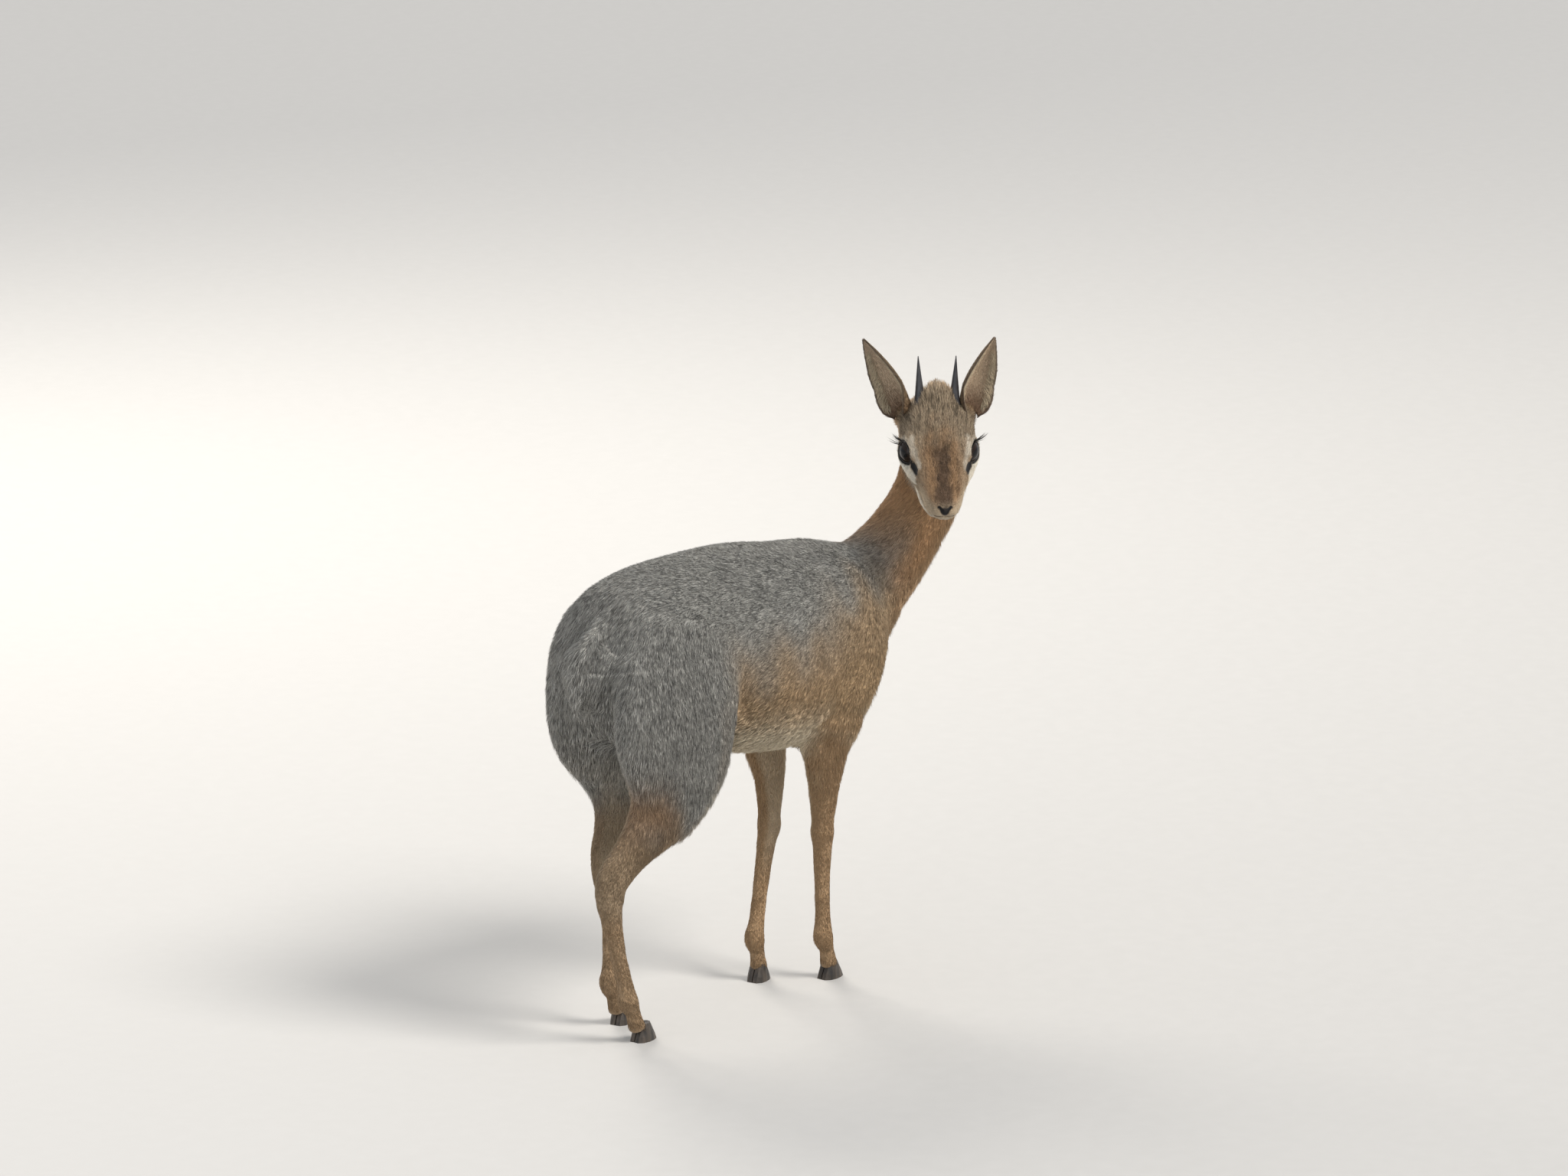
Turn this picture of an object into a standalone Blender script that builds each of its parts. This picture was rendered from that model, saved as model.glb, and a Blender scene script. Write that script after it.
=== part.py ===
"""A Kirk's dik-dik ram standing still and looking back over its right shoulder, life size.

The animal faces +X, its left side is +Y and up is +Z. The origin is on the ground
under the middle of its bounding box. Sizes are outside the coat.

The body is built the way a sculptor would: tubes of muscle and bone (Loft) and single
masses (Mass) are modelled one by one, joined with a voxel remesh, and the joined surface is
then drawn onto one smooth flesh surface, where neighbours flow into each other. After that
it is parted with thin cuts into head, neck, trunk, tail and legs. Ears, eyes, horns and
hoof claws are pieces of their own.
"""

import math

import bmesh
import bpy
import numpy as np
from mathutils import Matrix, Vector

CM = 0.01
GAP = 0.0003  # clear space between neighbouring pieces

# ---- driving sizes, in centimetres ---------------------------------------------------------
WITHERS_HEIGHT = 37.2
RUMP_HEIGHT = 38.8
BELLY_HEIGHT = 20.6
CANNON_RADIUS = 0.65
CARPUS_HEIGHT = 12.8
HOCK_HEIGHT = 13.9
FETLOCK_HEIGHT = 3.7
HOOF_HEIGHT = 1.55  # top of the claws, where the cut to the leg lies
HOOF_LENGTH = 2.5
CLAW_WIDTH = 0.74
EYE_RADIUS = 1.2
LID_THICKNESS = 0.13
EAR_LENGTH = 7.4
EAR_WIDTH = 3.2
EAR_THICKNESS = 0.17
HORN_LENGTH = 5.0
HORN_RADIUS = 0.57

# where the hooves stand: animal's right and left, front and hind
STANCE = {
    "front_right": (12.0, -2.4),
    "front_left": (7.6, 1.7),
    "hind_right": (-12.9, -2.4),
    "hind_left": (-9.8, 2.3),
}
# how far each leg's own stations move fore (+) or aft at a height: (height, move)
SWING = {
    "front_right": ((0, -0.9), (12.8, -1.1), (19.0, -0.7), (23.5, 0.0)),
    "front_left": ((0, -5.3), (3.6, -4.9), (9.5, -3.2), (12.8, -2.0), (17.0, -0.7), (22.0, 0.0)),
    "hind_right": ((0, 0.0), (20.0, 0.0)),
    "hind_left": (
        (0, 3.1),
        (3.7, 3.4),
        (8.0, 5.0),
        (14.0, 6.5),
        (18.0, 5.4),
        (22.0, 4.0),
        (27.0, 2.6),
        (32.0, 1.6),
        (36.0, 0.8),
    ),
}

# the head: middle point between the eyes, and where the face points
HEAD_AT = np.array([20.0, -8.0, 44.5])
HEAD_TURN = 222.0  # degrees from +X: it looks back over its right shoulder
HEAD_DROP = 27.0  # degrees below level

# the middle of the finished animal's box on the ground, in the frame it is modelled in
ORIGIN = (3.897, -2.419)

CAGE_VOXEL = 0.0045
SKIN_VOXEL = 0.0036
FLESH_TRIANGLES = 4300


def unit(v):
    v = np.asarray(v, float)
    return v / np.linalg.norm(v, axis=-1, keepdims=True)


_turn, _drop = math.radians(HEAD_TURN), math.radians(HEAD_DROP)
HEAD_FORWARD = np.array(
    [math.cos(_turn) * math.cos(_drop), math.sin(_turn) * math.cos(_drop), -math.sin(_drop)]
)
HEAD_UP = np.array(
    [math.cos(_turn) * math.sin(_drop), math.sin(_turn) * math.sin(_drop), math.cos(_drop)]
)
HEAD_LEFT = np.cross(HEAD_UP, HEAD_FORWARD)


def head(u, s, w):
    """A point of the head in centimetres: u forward, s to the animal's left, w up, from between the eyes."""
    return HEAD_AT + u * HEAD_FORWARD + s * HEAD_LEFT + w * HEAD_UP


def catmull(rows, steps):
    """A smooth curve through the rows, with this many steps from each to the next."""
    rows = np.asarray(rows, float)
    ends = np.vstack([2 * rows[0] - rows[1], rows, 2 * rows[-1] - rows[-2]])
    out = []
    for i in range(1, len(ends) - 2):
        a, b, c, d = ends[i - 1 : i + 3]
        for k in range(steps):
            t = k / steps
            out.append(
                0.5
                * (
                    2 * b
                    + (c - a) * t
                    + (2 * a - 5 * b + 4 * c - d) * t * t
                    + (3 * b - a - 3 * c + d) * t**3
                )
            )
    out.append(rows[-1])
    return np.array(out)


FINER = 6  # smooth steps within each straight stretch that a tube is searched by


class Loft:
    """A tube through stations (x, y, z, half width, radius on its upper side, radius on its lower side)."""

    def __init__(self, stations, up, blend, steps=5, power=2.0, cap=0.8):
        rows = catmull(np.asarray(stations, float) * CM, steps * FINER)
        self.at, self.radii = rows[:, :3], np.maximum(rows[:, 3:6], 0.002)
        self.line = self.at[::FINER]
        self.blend, self.power, self.cap = blend * CM, power, cap
        self.along = unit(np.gradient(self.at, axis=0))
        up = np.broadcast_to(np.asarray(up, float), self.at.shape)
        self.up = unit(up - (up * self.along).sum(1, keepdims=True) * self.along)
        self.side = np.cross(self.up, self.along)
        reach = self.radii.max() + 0.03
        self.low, self.high = self.at.min(0) - reach, self.at.max(0) + reach

    def field(self, p):
        """Signed distance, about, from each point to the tube's wall: negative inside."""
        out = np.full(len(p), 0.5)
        near = np.flatnonzero(((p > self.low) & (p < self.high)).all(1))
        for part in np.array_split(near, max(1, len(near) // 20000 + 1)):
            if len(part):
                out[part] = self._field(p[part])
        return out

    def _field(self, p):
        a, run = self.line[:-1], np.diff(self.line, axis=0)
        t = np.clip(
            (p @ run.T - (a * run).sum(1)) / (run * run).sum(1), 0.0, 1.0
        )
        gap = ((p[:, None, :] - a - t[:, :, None] * run) ** 2).sum(2)
        k = gap.argmin(1)
        share = (k + t[np.arange(len(p)), k]) * FINER
        k = np.minimum(share.astype(int), len(self.at) - 2)
        t = (share - k)[:, None]

        def mix(rows):
            return rows[k] * (1 - t) + rows[k + 1] * t

        d, radii = p - mix(self.at), mix(self.radii)
        side, up, along = (d * mix(v) for v in (self.side, self.up, self.along))
        side, up, along = side.sum(1), up.sum(1), along.sum(1)
        tall = np.where(up > 0, radii[:, 1], radii[:, 2])
        end = self.cap * np.minimum(radii[:, 0], tall)
        n = self.power
        flat = (np.abs(side) / radii[:, 0]) ** n + (np.abs(up) / tall) ** n
        k = np.sqrt(flat ** (2 / n) + (along / end) ** 2)
        length = np.linalg.norm(d, axis=1)
        return np.where(k > 1e-6, length - length / np.maximum(k, 1e-6), -radii[:, 0])

    def cage(self, bm, sides=20):
        """Adds the tube as rings bridged along its line, with round ends."""
        rings = []
        end = self.cap * self.radii.min(1)
        bows = [(math.cos(a), math.sin(a)) for a in np.radians([80, 55, 28])]
        rows = [(0, -end[0] * s, c) for c, s in bows]
        rows += [(i, 0.0, 1.0) for i in range(0, len(self.at), FINER)]
        rows += [(-1, end[-1] * s, c) for c, s in reversed(bows)]
        for i, push, size in rows:
            ring = []
            for j in range(sides):
                a = 2 * math.pi * j / sides
                c, s = math.cos(a), math.sin(a)
                tall = self.radii[i, 1] if s > 0 else self.radii[i, 2]
                p = (
                    self.at[i]
                    + self.along[i] * push
                    + self.side[i] * c * self.radii[i, 0] * size
                    + self.up[i] * s * tall * size
                )
                ring.append(bm.verts.new(p))
            rings.append(ring)
        for a, b in zip(rings, rings[1:]):
            for j in range(sides):
                k = (j + 1) % sides
                bm.faces.new((a[j], b[j], b[k], a[k]))
        bm.faces.new(rings[0])
        bm.faces.new(rings[-1][::-1])


class Mass:
    """An egg-shaped mass: a middle, three radii and the three directions they run in."""

    def __init__(self, at, radii, blend, axes=None):
        self.at, self.radii, self.blend = np.asarray(at, float) * CM, np.asarray(radii, float) * CM, blend * CM
        self.axes = unit(np.eye(3) if axes is None else axes)

    def field(self, p):
        out = np.full(len(p), 0.5)
        near = np.flatnonzero(np.abs(p - self.at).max(1) < self.radii.max() + 0.03)
        d = p[near] - self.at
        k = np.sqrt((((d @ self.axes.T) / self.radii) ** 2).sum(1))
        length = np.linalg.norm(d, axis=1)
        out[near] = np.where(k > 1e-6, length - length / np.maximum(k, 1e-6), -self.radii.min())
        return out

    def cage(self, bm):
        turn = Matrix(self.axes.T.tolist()).to_4x4()
        place = Matrix.Translation(self.at.tolist()) @ turn @ Matrix.Diagonal((*self.radii, 1.0))
        bmesh.ops.create_uvsphere(bm, u_segments=20, v_segments=12, radius=1.0, matrix=place)


class Swell:
    """A soft rise (or a dent, if its height is negative) in the flesh round a point."""

    def __init__(self, at, height, reach, axes=None):
        self.at, self.height, self.reach = np.asarray(at, float) * CM, height * CM, np.asarray(reach, float) * CM
        self.axes = unit(np.eye(3) if axes is None else axes)

    def __call__(self, p):
        out = np.zeros(len(p))
        near = np.flatnonzero(np.abs(p - self.at).max(1) < self.reach.max() * 3.2)
        q = ((p[near] - self.at) @ self.axes.T) / self.reach
        out[near] = self.height * np.exp(-0.5 * (q * q).sum(1))
        return out


HEAD_AXES = (HEAD_FORWARD, HEAD_LEFT, HEAD_UP)


# ---- the trunk and the neck ------------------------------------------------------------------
def trunk():
    top, belly = WITHERS_HEIGHT, BELLY_HEIGHT
    rows = [  # x, half width, back height, underline height
        (-15.3, 2.7, 33.6, 27.6),
        (-14.2, 4.5, 35.8, 25.8),
        (-12.8, 5.8, RUMP_HEIGHT - 1.3, 24.6),
        (-9.0, 6.3, RUMP_HEIGHT - 0.3, 23.9),
        (-3.5, 6.3, RUMP_HEIGHT - 0.1, belly + 2.2),
        (2.5, 6.9, RUMP_HEIGHT - 0.3, belly + 0.7),
        (8.0, 6.8, top + 0.5, belly),
        (12.5, 5.8, top - 0.2, belly + 0.3),
        (15.7, 4.3, top - 1.9, belly + 2.8),
        (18.0, 2.9, 32.8, 26.0),
    ]
    stations = []
    for x, wide, back, under in rows:
        middle = 30.3 - 0.06 * x
        stations.append((x, -0.02 * x, middle, wide, back - middle, middle - under))
    return Loft(stations, (0, 0, 1), 2.4, steps=7, power=2.15)


def neck():
    rows = [
        (9.5, -0.1, 31.0, 4.4, 4.2, 5.6),
        (15.0, -0.8, 32.0, 4.2, 3.75, 5.0),
        (19.5, -2.2, 34.8, 3.4, 2.6, 4.2),
        (22.1, -3.7, 38.6, 2.95, 2.05, 3.7),
        (23.1, -4.9, 41.8, 2.85, 2.7, 3.3),
        (23.0, -5.6, 44.6, 2.8, 2.9, 2.8),
    ]
    return Loft(rows, (-1.0, 0.2, 0.55), 3.2)


def tail():
    rows = [
        (-13.8, 0.1, 34.6, 0.8, 0.7, 0.8),
        (-15.7, 0.1, 33.6, 0.85, 0.62, 0.8),
        (-17.1, 0.1, 31.8, 0.85, 0.55, 0.7),
        (-17.65, 0.1, 29.6, 0.7, 0.45, 0.55),
        (-17.75, 0.1, 28.0, 0.4, 0.3, 0.35),
    ]
    return Loft(rows, (-1, 0, 0.3), 1.1)


# ---- legs ------------------------------------------------------------------------------------
def leg_rows(rows, side, leg, home):
    """The leg's own stations carried over to where its hoof stands."""
    heights, moves = zip(*SWING[leg])
    drift = STANCE[leg][1] * side - home
    return [
        (
            x + float(np.interp(z, heights, moves)),
            side * (y + drift * float(np.interp(z, (0, 20), (1, 0)))),
            z,
            *radii,
        )
        for x, y, z, *radii in rows
    ]


def front_leg(side, leg):
    """Upper arm, forearm, knee, cannon, fetlock and pastern. side is -1 on the animal's right."""
    c, k = CANNON_RADIUS, CARPUS_HEIGHT
    rows = [
        (11.4, 3.5, 22.6, 1.9, 2.7, 3.2),
        (11.5, 3.35, 20.2, 1.65, 2.1, 2.7),
        (11.9, 3.0, 17.0, 1.25, 1.4, 1.7),
        (12.2, 2.7, k + 1.3, 1.0, 1.0, 1.04),
        (12.35, 2.6, k, 1.0, 1.06, 1.0),
        (12.4, 2.55, k - 1.5, 0.8, 0.82, 0.88),
        (12.5, 2.45, 8.2, c, c, c + 0.1),
        (12.6, 2.4, 5.2, c + 0.02, c + 0.02, c + 0.12),
        (12.65, 2.4, FETLOCK_HEIGHT, 0.86, 0.78, 0.95),
        (13.05, 2.4, 2.5, 0.68, 0.6, 0.66),
        (13.35, 2.4, 1.2, 0.74, 0.76, 0.76),
    ]
    return Loft(leg_rows(rows, side, leg, 2.4), (1, 0, 0), 1.6, cap=0.4)


def shoulder(side):
    """Shoulder blade and upper arm: down and forward from the withers, then back to the elbow."""
    rows = [
        (8.8, 3.2, 33.6, 1.7, 2.8, 3.0),
        (11.8, 4.0, 31.4, 2.2, 3.6, 3.4),
        (13.9, 4.1, 28.2, 2.2, 2.8, 3.4),
        (13.1, 4.0, 25.2, 2.1, 2.5, 3.2),
        (11.9, 3.6, 22.8, 1.75, 2.5, 2.7),
    ]
    return Loft([(x, side * y, *rest) for x, y, *rest in rows], (1, 0, 0.6), 2.0)


def hind_leg(side, leg):
    """Haunch, gaskin, hock, cannon, fetlock and pastern."""
    c, h = CANNON_RADIUS + 0.03, HOCK_HEIGHT
    rows = [
        (-10.4, 3.4, 33.6, 2.4, 3.8, 3.6),
        (-11.0, 4.2, 30.6, 3.0, 6.2, 5.6),
        (-11.0, 4.6, 26.8, 3.1, 7.4, 6.6),
        (-11.2, 4.5, 23.2, 2.8, 6.8, 5.7),
        (-12.0, 4.2, 20.2, 2.2, 5.2, 3.9),
        (-13.5, 3.7, 17.9, 1.65, 3.0, 2.5),
        (-15.2, 3.2, 16.0, 1.25, 2.0, 1.95),
        (-16.6, 2.9, h + 0.4, 1.15, 1.5, 1.95),
        (-16.9, 2.75, h - 1.1, 1.05, 1.3, 1.42),
        (-16.5, 2.6, h - 2.8, 0.84, 0.9, 1.0),
        (-15.6, 2.45, 8.0, c, c, c + 0.1),
        (-14.6, 2.4, 5.1, c, c, c + 0.12),
        (-14.2, 2.4, FETLOCK_HEIGHT, 0.86, 0.8, 0.96),
        (-13.6, 2.4, 2.5, 0.68, 0.62, 0.68),
        (-13.1, 2.4, 1.2, 0.74, 0.78, 0.76),
    ]
    return Loft(leg_rows(rows, side, leg, 2.4), (1, 0, 0), 2.4, cap=0.4)


# ---- the head --------------------------------------------------------------------------------
def skull():
    rows = [  # u, middle w, half width, up, down
        (-5.6, 0.3, 1.7, 1.7, 1.8),
        (-4.4, 0.3, 2.75, 2.3, 2.5),
        (-2.7, 0.3, 3.15, 2.5, 2.8),
        (-0.8, 0.2, 3.15, 2.2, 2.9),
        (1.1, 0.0, 2.85, 1.9, 2.7),
        (2.9, -0.25, 2.4, 1.6, 2.3),
        (4.6, -0.6, 1.8, 1.4, 1.8),
        (5.9, -0.9, 1.4, 1.15, 1.3),
        (6.7, -1.15, 0.98, 0.85, 0.85),
    ]
    return Loft(
        [(*head(u, 0, w), wide, up, down) for u, w, wide, up, down in rows], HEAD_UP, 1.0, power=2.2, cap=0.6
    )


def jaw():
    rows = [
        (-2.9, -1.9, 1.9, 1.2, 1.3),
        (-0.6, -2.3, 1.95, 1.0, 1.1),
        (2.0, -2.35, 1.95, 0.9, 0.85),
        (4.2, -2.2, 1.72, 0.8, 0.65),
        (5.6, -2.05, 1.28, 0.6, 0.5),
    ]
    return Loft([(*head(u, 0, w), wide, up, down) for u, w, wide, up, down in rows], HEAD_UP, 0.7)


EYE_AT = {"right": head(0.1, -2.08, 0.1), "left": head(0.1, 2.08, 0.1)}
EYE_LOOKS = {  # the way each eye points: out, forward and a little up
    side: unit(0.5 * HEAD_FORWARD + s * 0.82 * HEAD_LEFT + 0.22 * HEAD_UP)
    for side, s in (("right", -1), ("left", 1))
}


def head_masses():
    found = [
        Mass(head(-2.4, 0, 1.75), (2.5, 2.0, 1.3), 1.0, HEAD_AXES),  # brow between the horns
        Mass(
            head(-3.3, 0, 2.75),
            (1.3, 1.6, 1.55),
            1.0,
            (HEAD_FORWARD * 0.85 + HEAD_UP * 0.52, HEAD_LEFT, HEAD_UP * 0.85 - HEAD_FORWARD * 0.52),
        ),  # crest of hair
        Mass(head(5.5, 0, -0.6), (1.5, 1.1, 0.8), 0.7, HEAD_AXES),  # the full, soft snout
    ]
    for s in (-1, 1):
        found.append(Mass(head(-1.7, s * 1.75, -1.5), (1.9, 0.95, 1.6), 0.9, HEAD_AXES))  # chewing muscle
        found.append(Mass(head(-4.4, s * 2.45, 0.3), (1.05, 0.97, 1.05), 0.8, HEAD_AXES))  # root of the ear
    for at in EYE_AT.values():
        found.append(Mass(at, [EYE_RADIUS + LID_THICKNESS] * 3, 0.75))  # eye socket and lids
    return found


class Opening:
    """The almond gap between the lids: a cone out of the eye's middle."""

    def __init__(self, at, looks, corner, long_angle, high_angle):
        self.at, self.out = np.asarray(at) * CM, unit(looks)
        corner = unit(corner - (corner @ self.out) * self.out)
        self.long, self.high = corner, np.cross(self.out, corner)
        self.spread = math.tan(math.radians(long_angle)), math.tan(math.radians(high_angle))

    def field(self, p):
        out = np.full(len(p), 0.5)
        near = np.flatnonzero(np.abs(p - self.at).max(1) < 0.03)
        d = p[near] - self.at
        a, b = np.abs(d @ self.long) / self.spread[0], np.abs(d @ self.high) / self.spread[1]
        out[near] = 0.62 * ((a**1.7 + b**1.7) ** (1 / 1.7) - d @ self.out)
        return out


OPENINGS = [
    Opening(EYE_AT[side], EYE_LOOKS[side], HEAD_FORWARD - 0.42 * HEAD_UP, 50.0, 38.0)
    for side in ("right", "left")
]

SHAPES = [trunk(), neck(), tail()]
for _side in (-1, 1):
    _name = "right" if _side < 0 else "left"
    SHAPES += [
        shoulder(_side),
        front_leg(_side, "front_" + _name),
        hind_leg(_side, "hind_" + _name),
    ]
HEAD_SHAPES = [skull(), jaw(), *head_masses()]
SHAPES += HEAD_SHAPES

SWELLS = [
    Swell((-2.6, -6.2, 26.0), -0.7, (1.6, 1.6, 3.2)),  # hollow of the flank, before the haunch
    Swell((-2.6, 6.2, 26.0), -0.7, (1.6, 1.6, 3.2)),
    Swell((-15.0, 0.0, 21.5), -1.2, (3.5, 1.0, 3.5)),  # between the thighs
    Swell((17.6, 0.0, 22.4), -0.5, (2.2, 0.9, 2.2)),  # between the forelegs
    Swell(head(0.9, 0, 2.2), -0.22, (1.4, 1.3, 1.2), HEAD_AXES),  # the stop, between the eyes
]
for _side in (-1, 1):
    SWELLS += [
        Swell(head(2.8, _side * 2.2, 0.3), -0.16, (0.45, 0.4, 0.4), HEAD_AXES),  # tear gland before the eye
        Swell(head(1.7, _side * 2.75, -0.4), 0.30, (1.1, 0.7, 0.8), HEAD_AXES),  # cheekbone under the eye
        Swell(head(7.2, _side * 0.45, -0.6), -0.10, (0.3, 0.22, 0.2), HEAD_AXES),  # nostril
        Swell(head(0.0, _side * 2.2, 1.55), 0.16, (1.0, 0.5, 0.35), HEAD_AXES),  # brow over the eye
    ]


def smooth_min(a, b, reach):
    h = np.maximum(reach - np.abs(a - b), 0.0) / reach
    return np.minimum(a, b) - h * h * reach * 0.25


def flesh(p):
    """The whole animal's surface as one field, in metres: zero on the coat's outside, negative inside."""
    out = SHAPES[0].field(p)
    for shape in SHAPES[1:]:
        out = smooth_min(out, shape.field(p), shape.blend)
    for swell in SWELLS:
        out = out - swell(p)
    for gap in OPENINGS:
        out = -smooth_min(-out, gap.field(p), 0.0008)
    return out


def drawn_onto(p, rounds, field=flesh, most=0.004):
    """The points moved along the field's slope until they lie on its zero surface."""
    e = 0.0004
    for _ in range(rounds):
        f = field(p)
        slope = np.stack([(field(p + e * d) - f) / e for d in np.eye(3)], 1)
        steep = np.maximum((slope * slope).sum(1), 0.09)
        step = -(f / steep)[:, None] * slope
        length = np.linalg.norm(step, axis=1, keepdims=True)
        p = p + step * np.minimum(1.0, most / np.maximum(length, 1e-9))
    return p


# ---- Blender helpers -------------------------------------------------------------------------
def clear():
    for o in list(bpy.data.objects):
        bpy.data.objects.remove(o)


def finish(name, colour, roughness, metallic=0.0):
    m = bpy.data.materials.new(name)
    m.use_nodes = True
    shader = m.node_tree.nodes["Principled BSDF"]
    shader.inputs["Base Color"].default_value = (*colour, 1)
    shader.inputs["Roughness"].default_value = roughness
    shader.inputs["Metallic"].default_value = metallic
    return m


def add(name, mesh, material=None):
    o = bpy.data.objects.new(name, mesh)
    bpy.context.scene.collection.objects.link(o)
    if material:
        mesh.materials.clear()
        mesh.materials.append(material)
    return o


def mesh_from(name, build):
    bm = bmesh.new()
    build(bm)
    mesh = bpy.data.meshes.new(name)
    bm.to_mesh(mesh)
    bm.free()
    return mesh


def evaluated(o):
    """The object's mesh with its modifiers applied; the object goes."""
    graph = bpy.context.evaluated_depsgraph_get()
    mesh = bpy.data.meshes.new_from_object(o.evaluated_get(graph))
    bpy.data.objects.remove(o)
    return mesh


def points(mesh):
    co = np.zeros(len(mesh.vertices) * 3, np.float32)
    mesh.vertices.foreach_get("co", co)
    return co.reshape(-1, 3).astype(float)


def put_points(mesh, p):
    mesh.vertices.foreach_set("co", p.astype(np.float32).ravel())
    mesh.update()


def relaxed(mesh, rounds=14):
    """Evens out small unevenness of body and limbs without shrinking them; the face stays as it is."""
    p = points(mesh)
    ends = np.zeros(len(mesh.edges) * 2, np.int32)
    mesh.edges.foreach_get("vertices", ends)
    a, b = ends.reshape(-1, 2).T
    count = np.bincount(a, minlength=len(p)) + np.bincount(b, minlength=len(p))
    face = np.linalg.norm((p - HEAD_AT * CM) @ np.array(HEAD_AXES).T / (0.09, 0.045, 0.05), axis=1)
    free = np.clip((face - 0.9) / 0.25, 0.0, 1.0)
    for _ in range(rounds):
        for pull in (0.5, -0.52):
            near = np.stack(
                [np.bincount(a, p[b, k], len(p)) + np.bincount(b, p[a, k], len(p)) for k in range(3)], 1
            )
            p = p + (pull * free)[:, None] * (near / count[:, None] - p)
    put_points(mesh, p)


def remeshed(mesh, voxel):
    o = add("cage", mesh)
    m = o.modifiers.new("join", "REMESH")
    m.mode, m.voxel_size = "VOXEL", voxel
    return evaluated(o)


def decimated(mesh, triangles):
    o = add("dense", mesh)
    o.modifiers.new("triangles", "TRIANGULATE")
    m = o.modifiers.new("fewer", "DECIMATE")
    m.ratio = min(1.0, triangles / (2 * len(mesh.polygons)))
    return evaluated(o)


def boolean(mesh, cutter, how):
    a, b = add("a", mesh), add("b", cutter)
    b.hide_render, b.display_type = True, "WIRE"
    m = a.modifiers.new("cut", "BOOLEAN")
    m.operation, m.object, m.solver = how, b, "EXACT"
    out = evaluated(a)
    bpy.data.objects.remove(b)
    return out


def largest(mesh):
    """Only the mesh's largest connected piece, so that a cut leaves no crumbs."""
    bm = bmesh.new()
    bm.from_mesh(mesh)
    bmesh.ops.remove_doubles(bm, verts=bm.verts, dist=1e-6)
    left, best = set(bm.verts), []
    while left:
        start = left.pop()
        found, edge = {start}, [start]
        while edge:
            v = edge.pop()
            for e in v.link_edges:
                w = e.other_vert(v)
                if w in left:
                    left.discard(w)
                    found.add(w)
                    edge.append(w)
        if len(found) > len(best):
            best = found
    bmesh.ops.delete(bm, geom=[v for v in bm.verts if v not in best], context="VERTS")
    bmesh.ops.triangulate(bm, faces=bm.faces)
    bm.to_mesh(mesh)
    bm.free()
    return mesh


def cell(planes, size=0.8):
    """A closed convex block: a big cube cut back to one side of each (point in cm, outward normal) plane."""

    def build(bm):
        bmesh.ops.create_cube(bm, size=size, matrix=Matrix.Translation((0, 0, 0.25)))
        for at, normal in planes:
            made = bmesh.ops.bisect_plane(
                bm,
                geom=bm.verts[:] + bm.edges[:] + bm.faces[:],
                plane_co=Vector([c * CM for c in at]),
                plane_no=Vector(normal).normalized(),
                clear_outer=True,
            )
            edges = [e for e in made["geom_cut"] if isinstance(e, bmesh.types.BMEdge)]
            bmesh.ops.holes_fill(bm, edges=edges)
        bmesh.ops.recalc_face_normals(bm, faces=bm.faces)

    return mesh_from("cell", build)


def grown(planes):
    """The same planes moved out by the gap."""
    return [
        (tuple(np.asarray(at, float) + unit(normal) * GAP / CM), normal) for at, normal in planes
    ]


# ---- the cuts: each limb is what lies inside its block ---------------------------------------
NECK_LOW = ((16.4, -1.2, 33.0), (-0.86, 0.12, -0.5))
NECK_HIGH = ((22.7, -5.5, 43.0), (-0.22, -0.35, 0.9))


def limb_cells():
    cells = {}
    for side, name in ((-1, "right"), (1, "left")):
        cells["leg_hind_" + name] = [
            ((-9.0, side * 0.15, 27.0), (0, -side, 0)),
            ((-10.0, side * 4.4, 30.6), (-0.1, -side * 0.62, 0.78)),
            ((-2.4, side * 4.0, 24.0), (1, 0, 0.25)),
        ]
        cells["leg_front_" + name] = [
            ((10.0, side * 0.15, 22.0), (0, -side, 0)),
            ((11.5, side * 3.4, 24.4), (-0.05, -side * 0.62, 0.78)),
            ((4.9, side * 3.0, 22.0), (-1, 0, 0.0)),
        ]
    cells["tail"] = [
        ((-17.1, 0.1, 31.0), (0.97, 0, -0.2)),
        ((-18.0, 1.5, 32.0), (0, 1, 0)),
        ((-18.0, -1.3, 32.0), (0, -1, 0)),
        ((-18.0, 0.1, 26.9), (0, 0, -1)),
    ]
    return cells


def flesh_pieces():
    """The whole body as one closed mesh, then cut into its named parts."""

    def build(bm):
        for shape in SHAPES:
            shape.cage(bm)
        bmesh.ops.recalc_face_normals(bm, faces=bm.faces)

    body = remeshed(mesh_from("cage", build), CAGE_VOXEL)
    put_points(body, drawn_onto(points(body), 5))
    body = remeshed(body, SKIN_VOXEL)
    put_points(body, drawn_onto(points(body), 4))
    relaxed(body)
    body = decimated(body, FLESH_TRIANGLES)
    body = largest(body)

    found = {}
    # the neck and the head come off first, along planes across the neck
    neck_up = [NECK_LOW, ((8.0, 0, 34.0), (-1, 0, 0)), ((18, 0, 29.0), (0.25, 0, -1))]
    above = boolean(body.copy(), cell(neck_up), "INTERSECT")
    rest = boolean(body, cell(grown(neck_up)), "DIFFERENCE")
    head_block = [(NECK_HIGH[0], tuple(-c for c in NECK_HIGH[1]))]
    found["head"] = boolean(above.copy(), cell(head_block), "INTERSECT")
    found["neck"] = boolean(above, cell(grown(head_block)), "DIFFERENCE")
    for name, planes in limb_cells().items():
        found[name] = boolean(rest.copy(), cell(planes), "INTERSECT")
        rest = boolean(rest, cell(grown(planes)), "DIFFERENCE")
    found["trunk"] = rest
    return found


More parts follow.
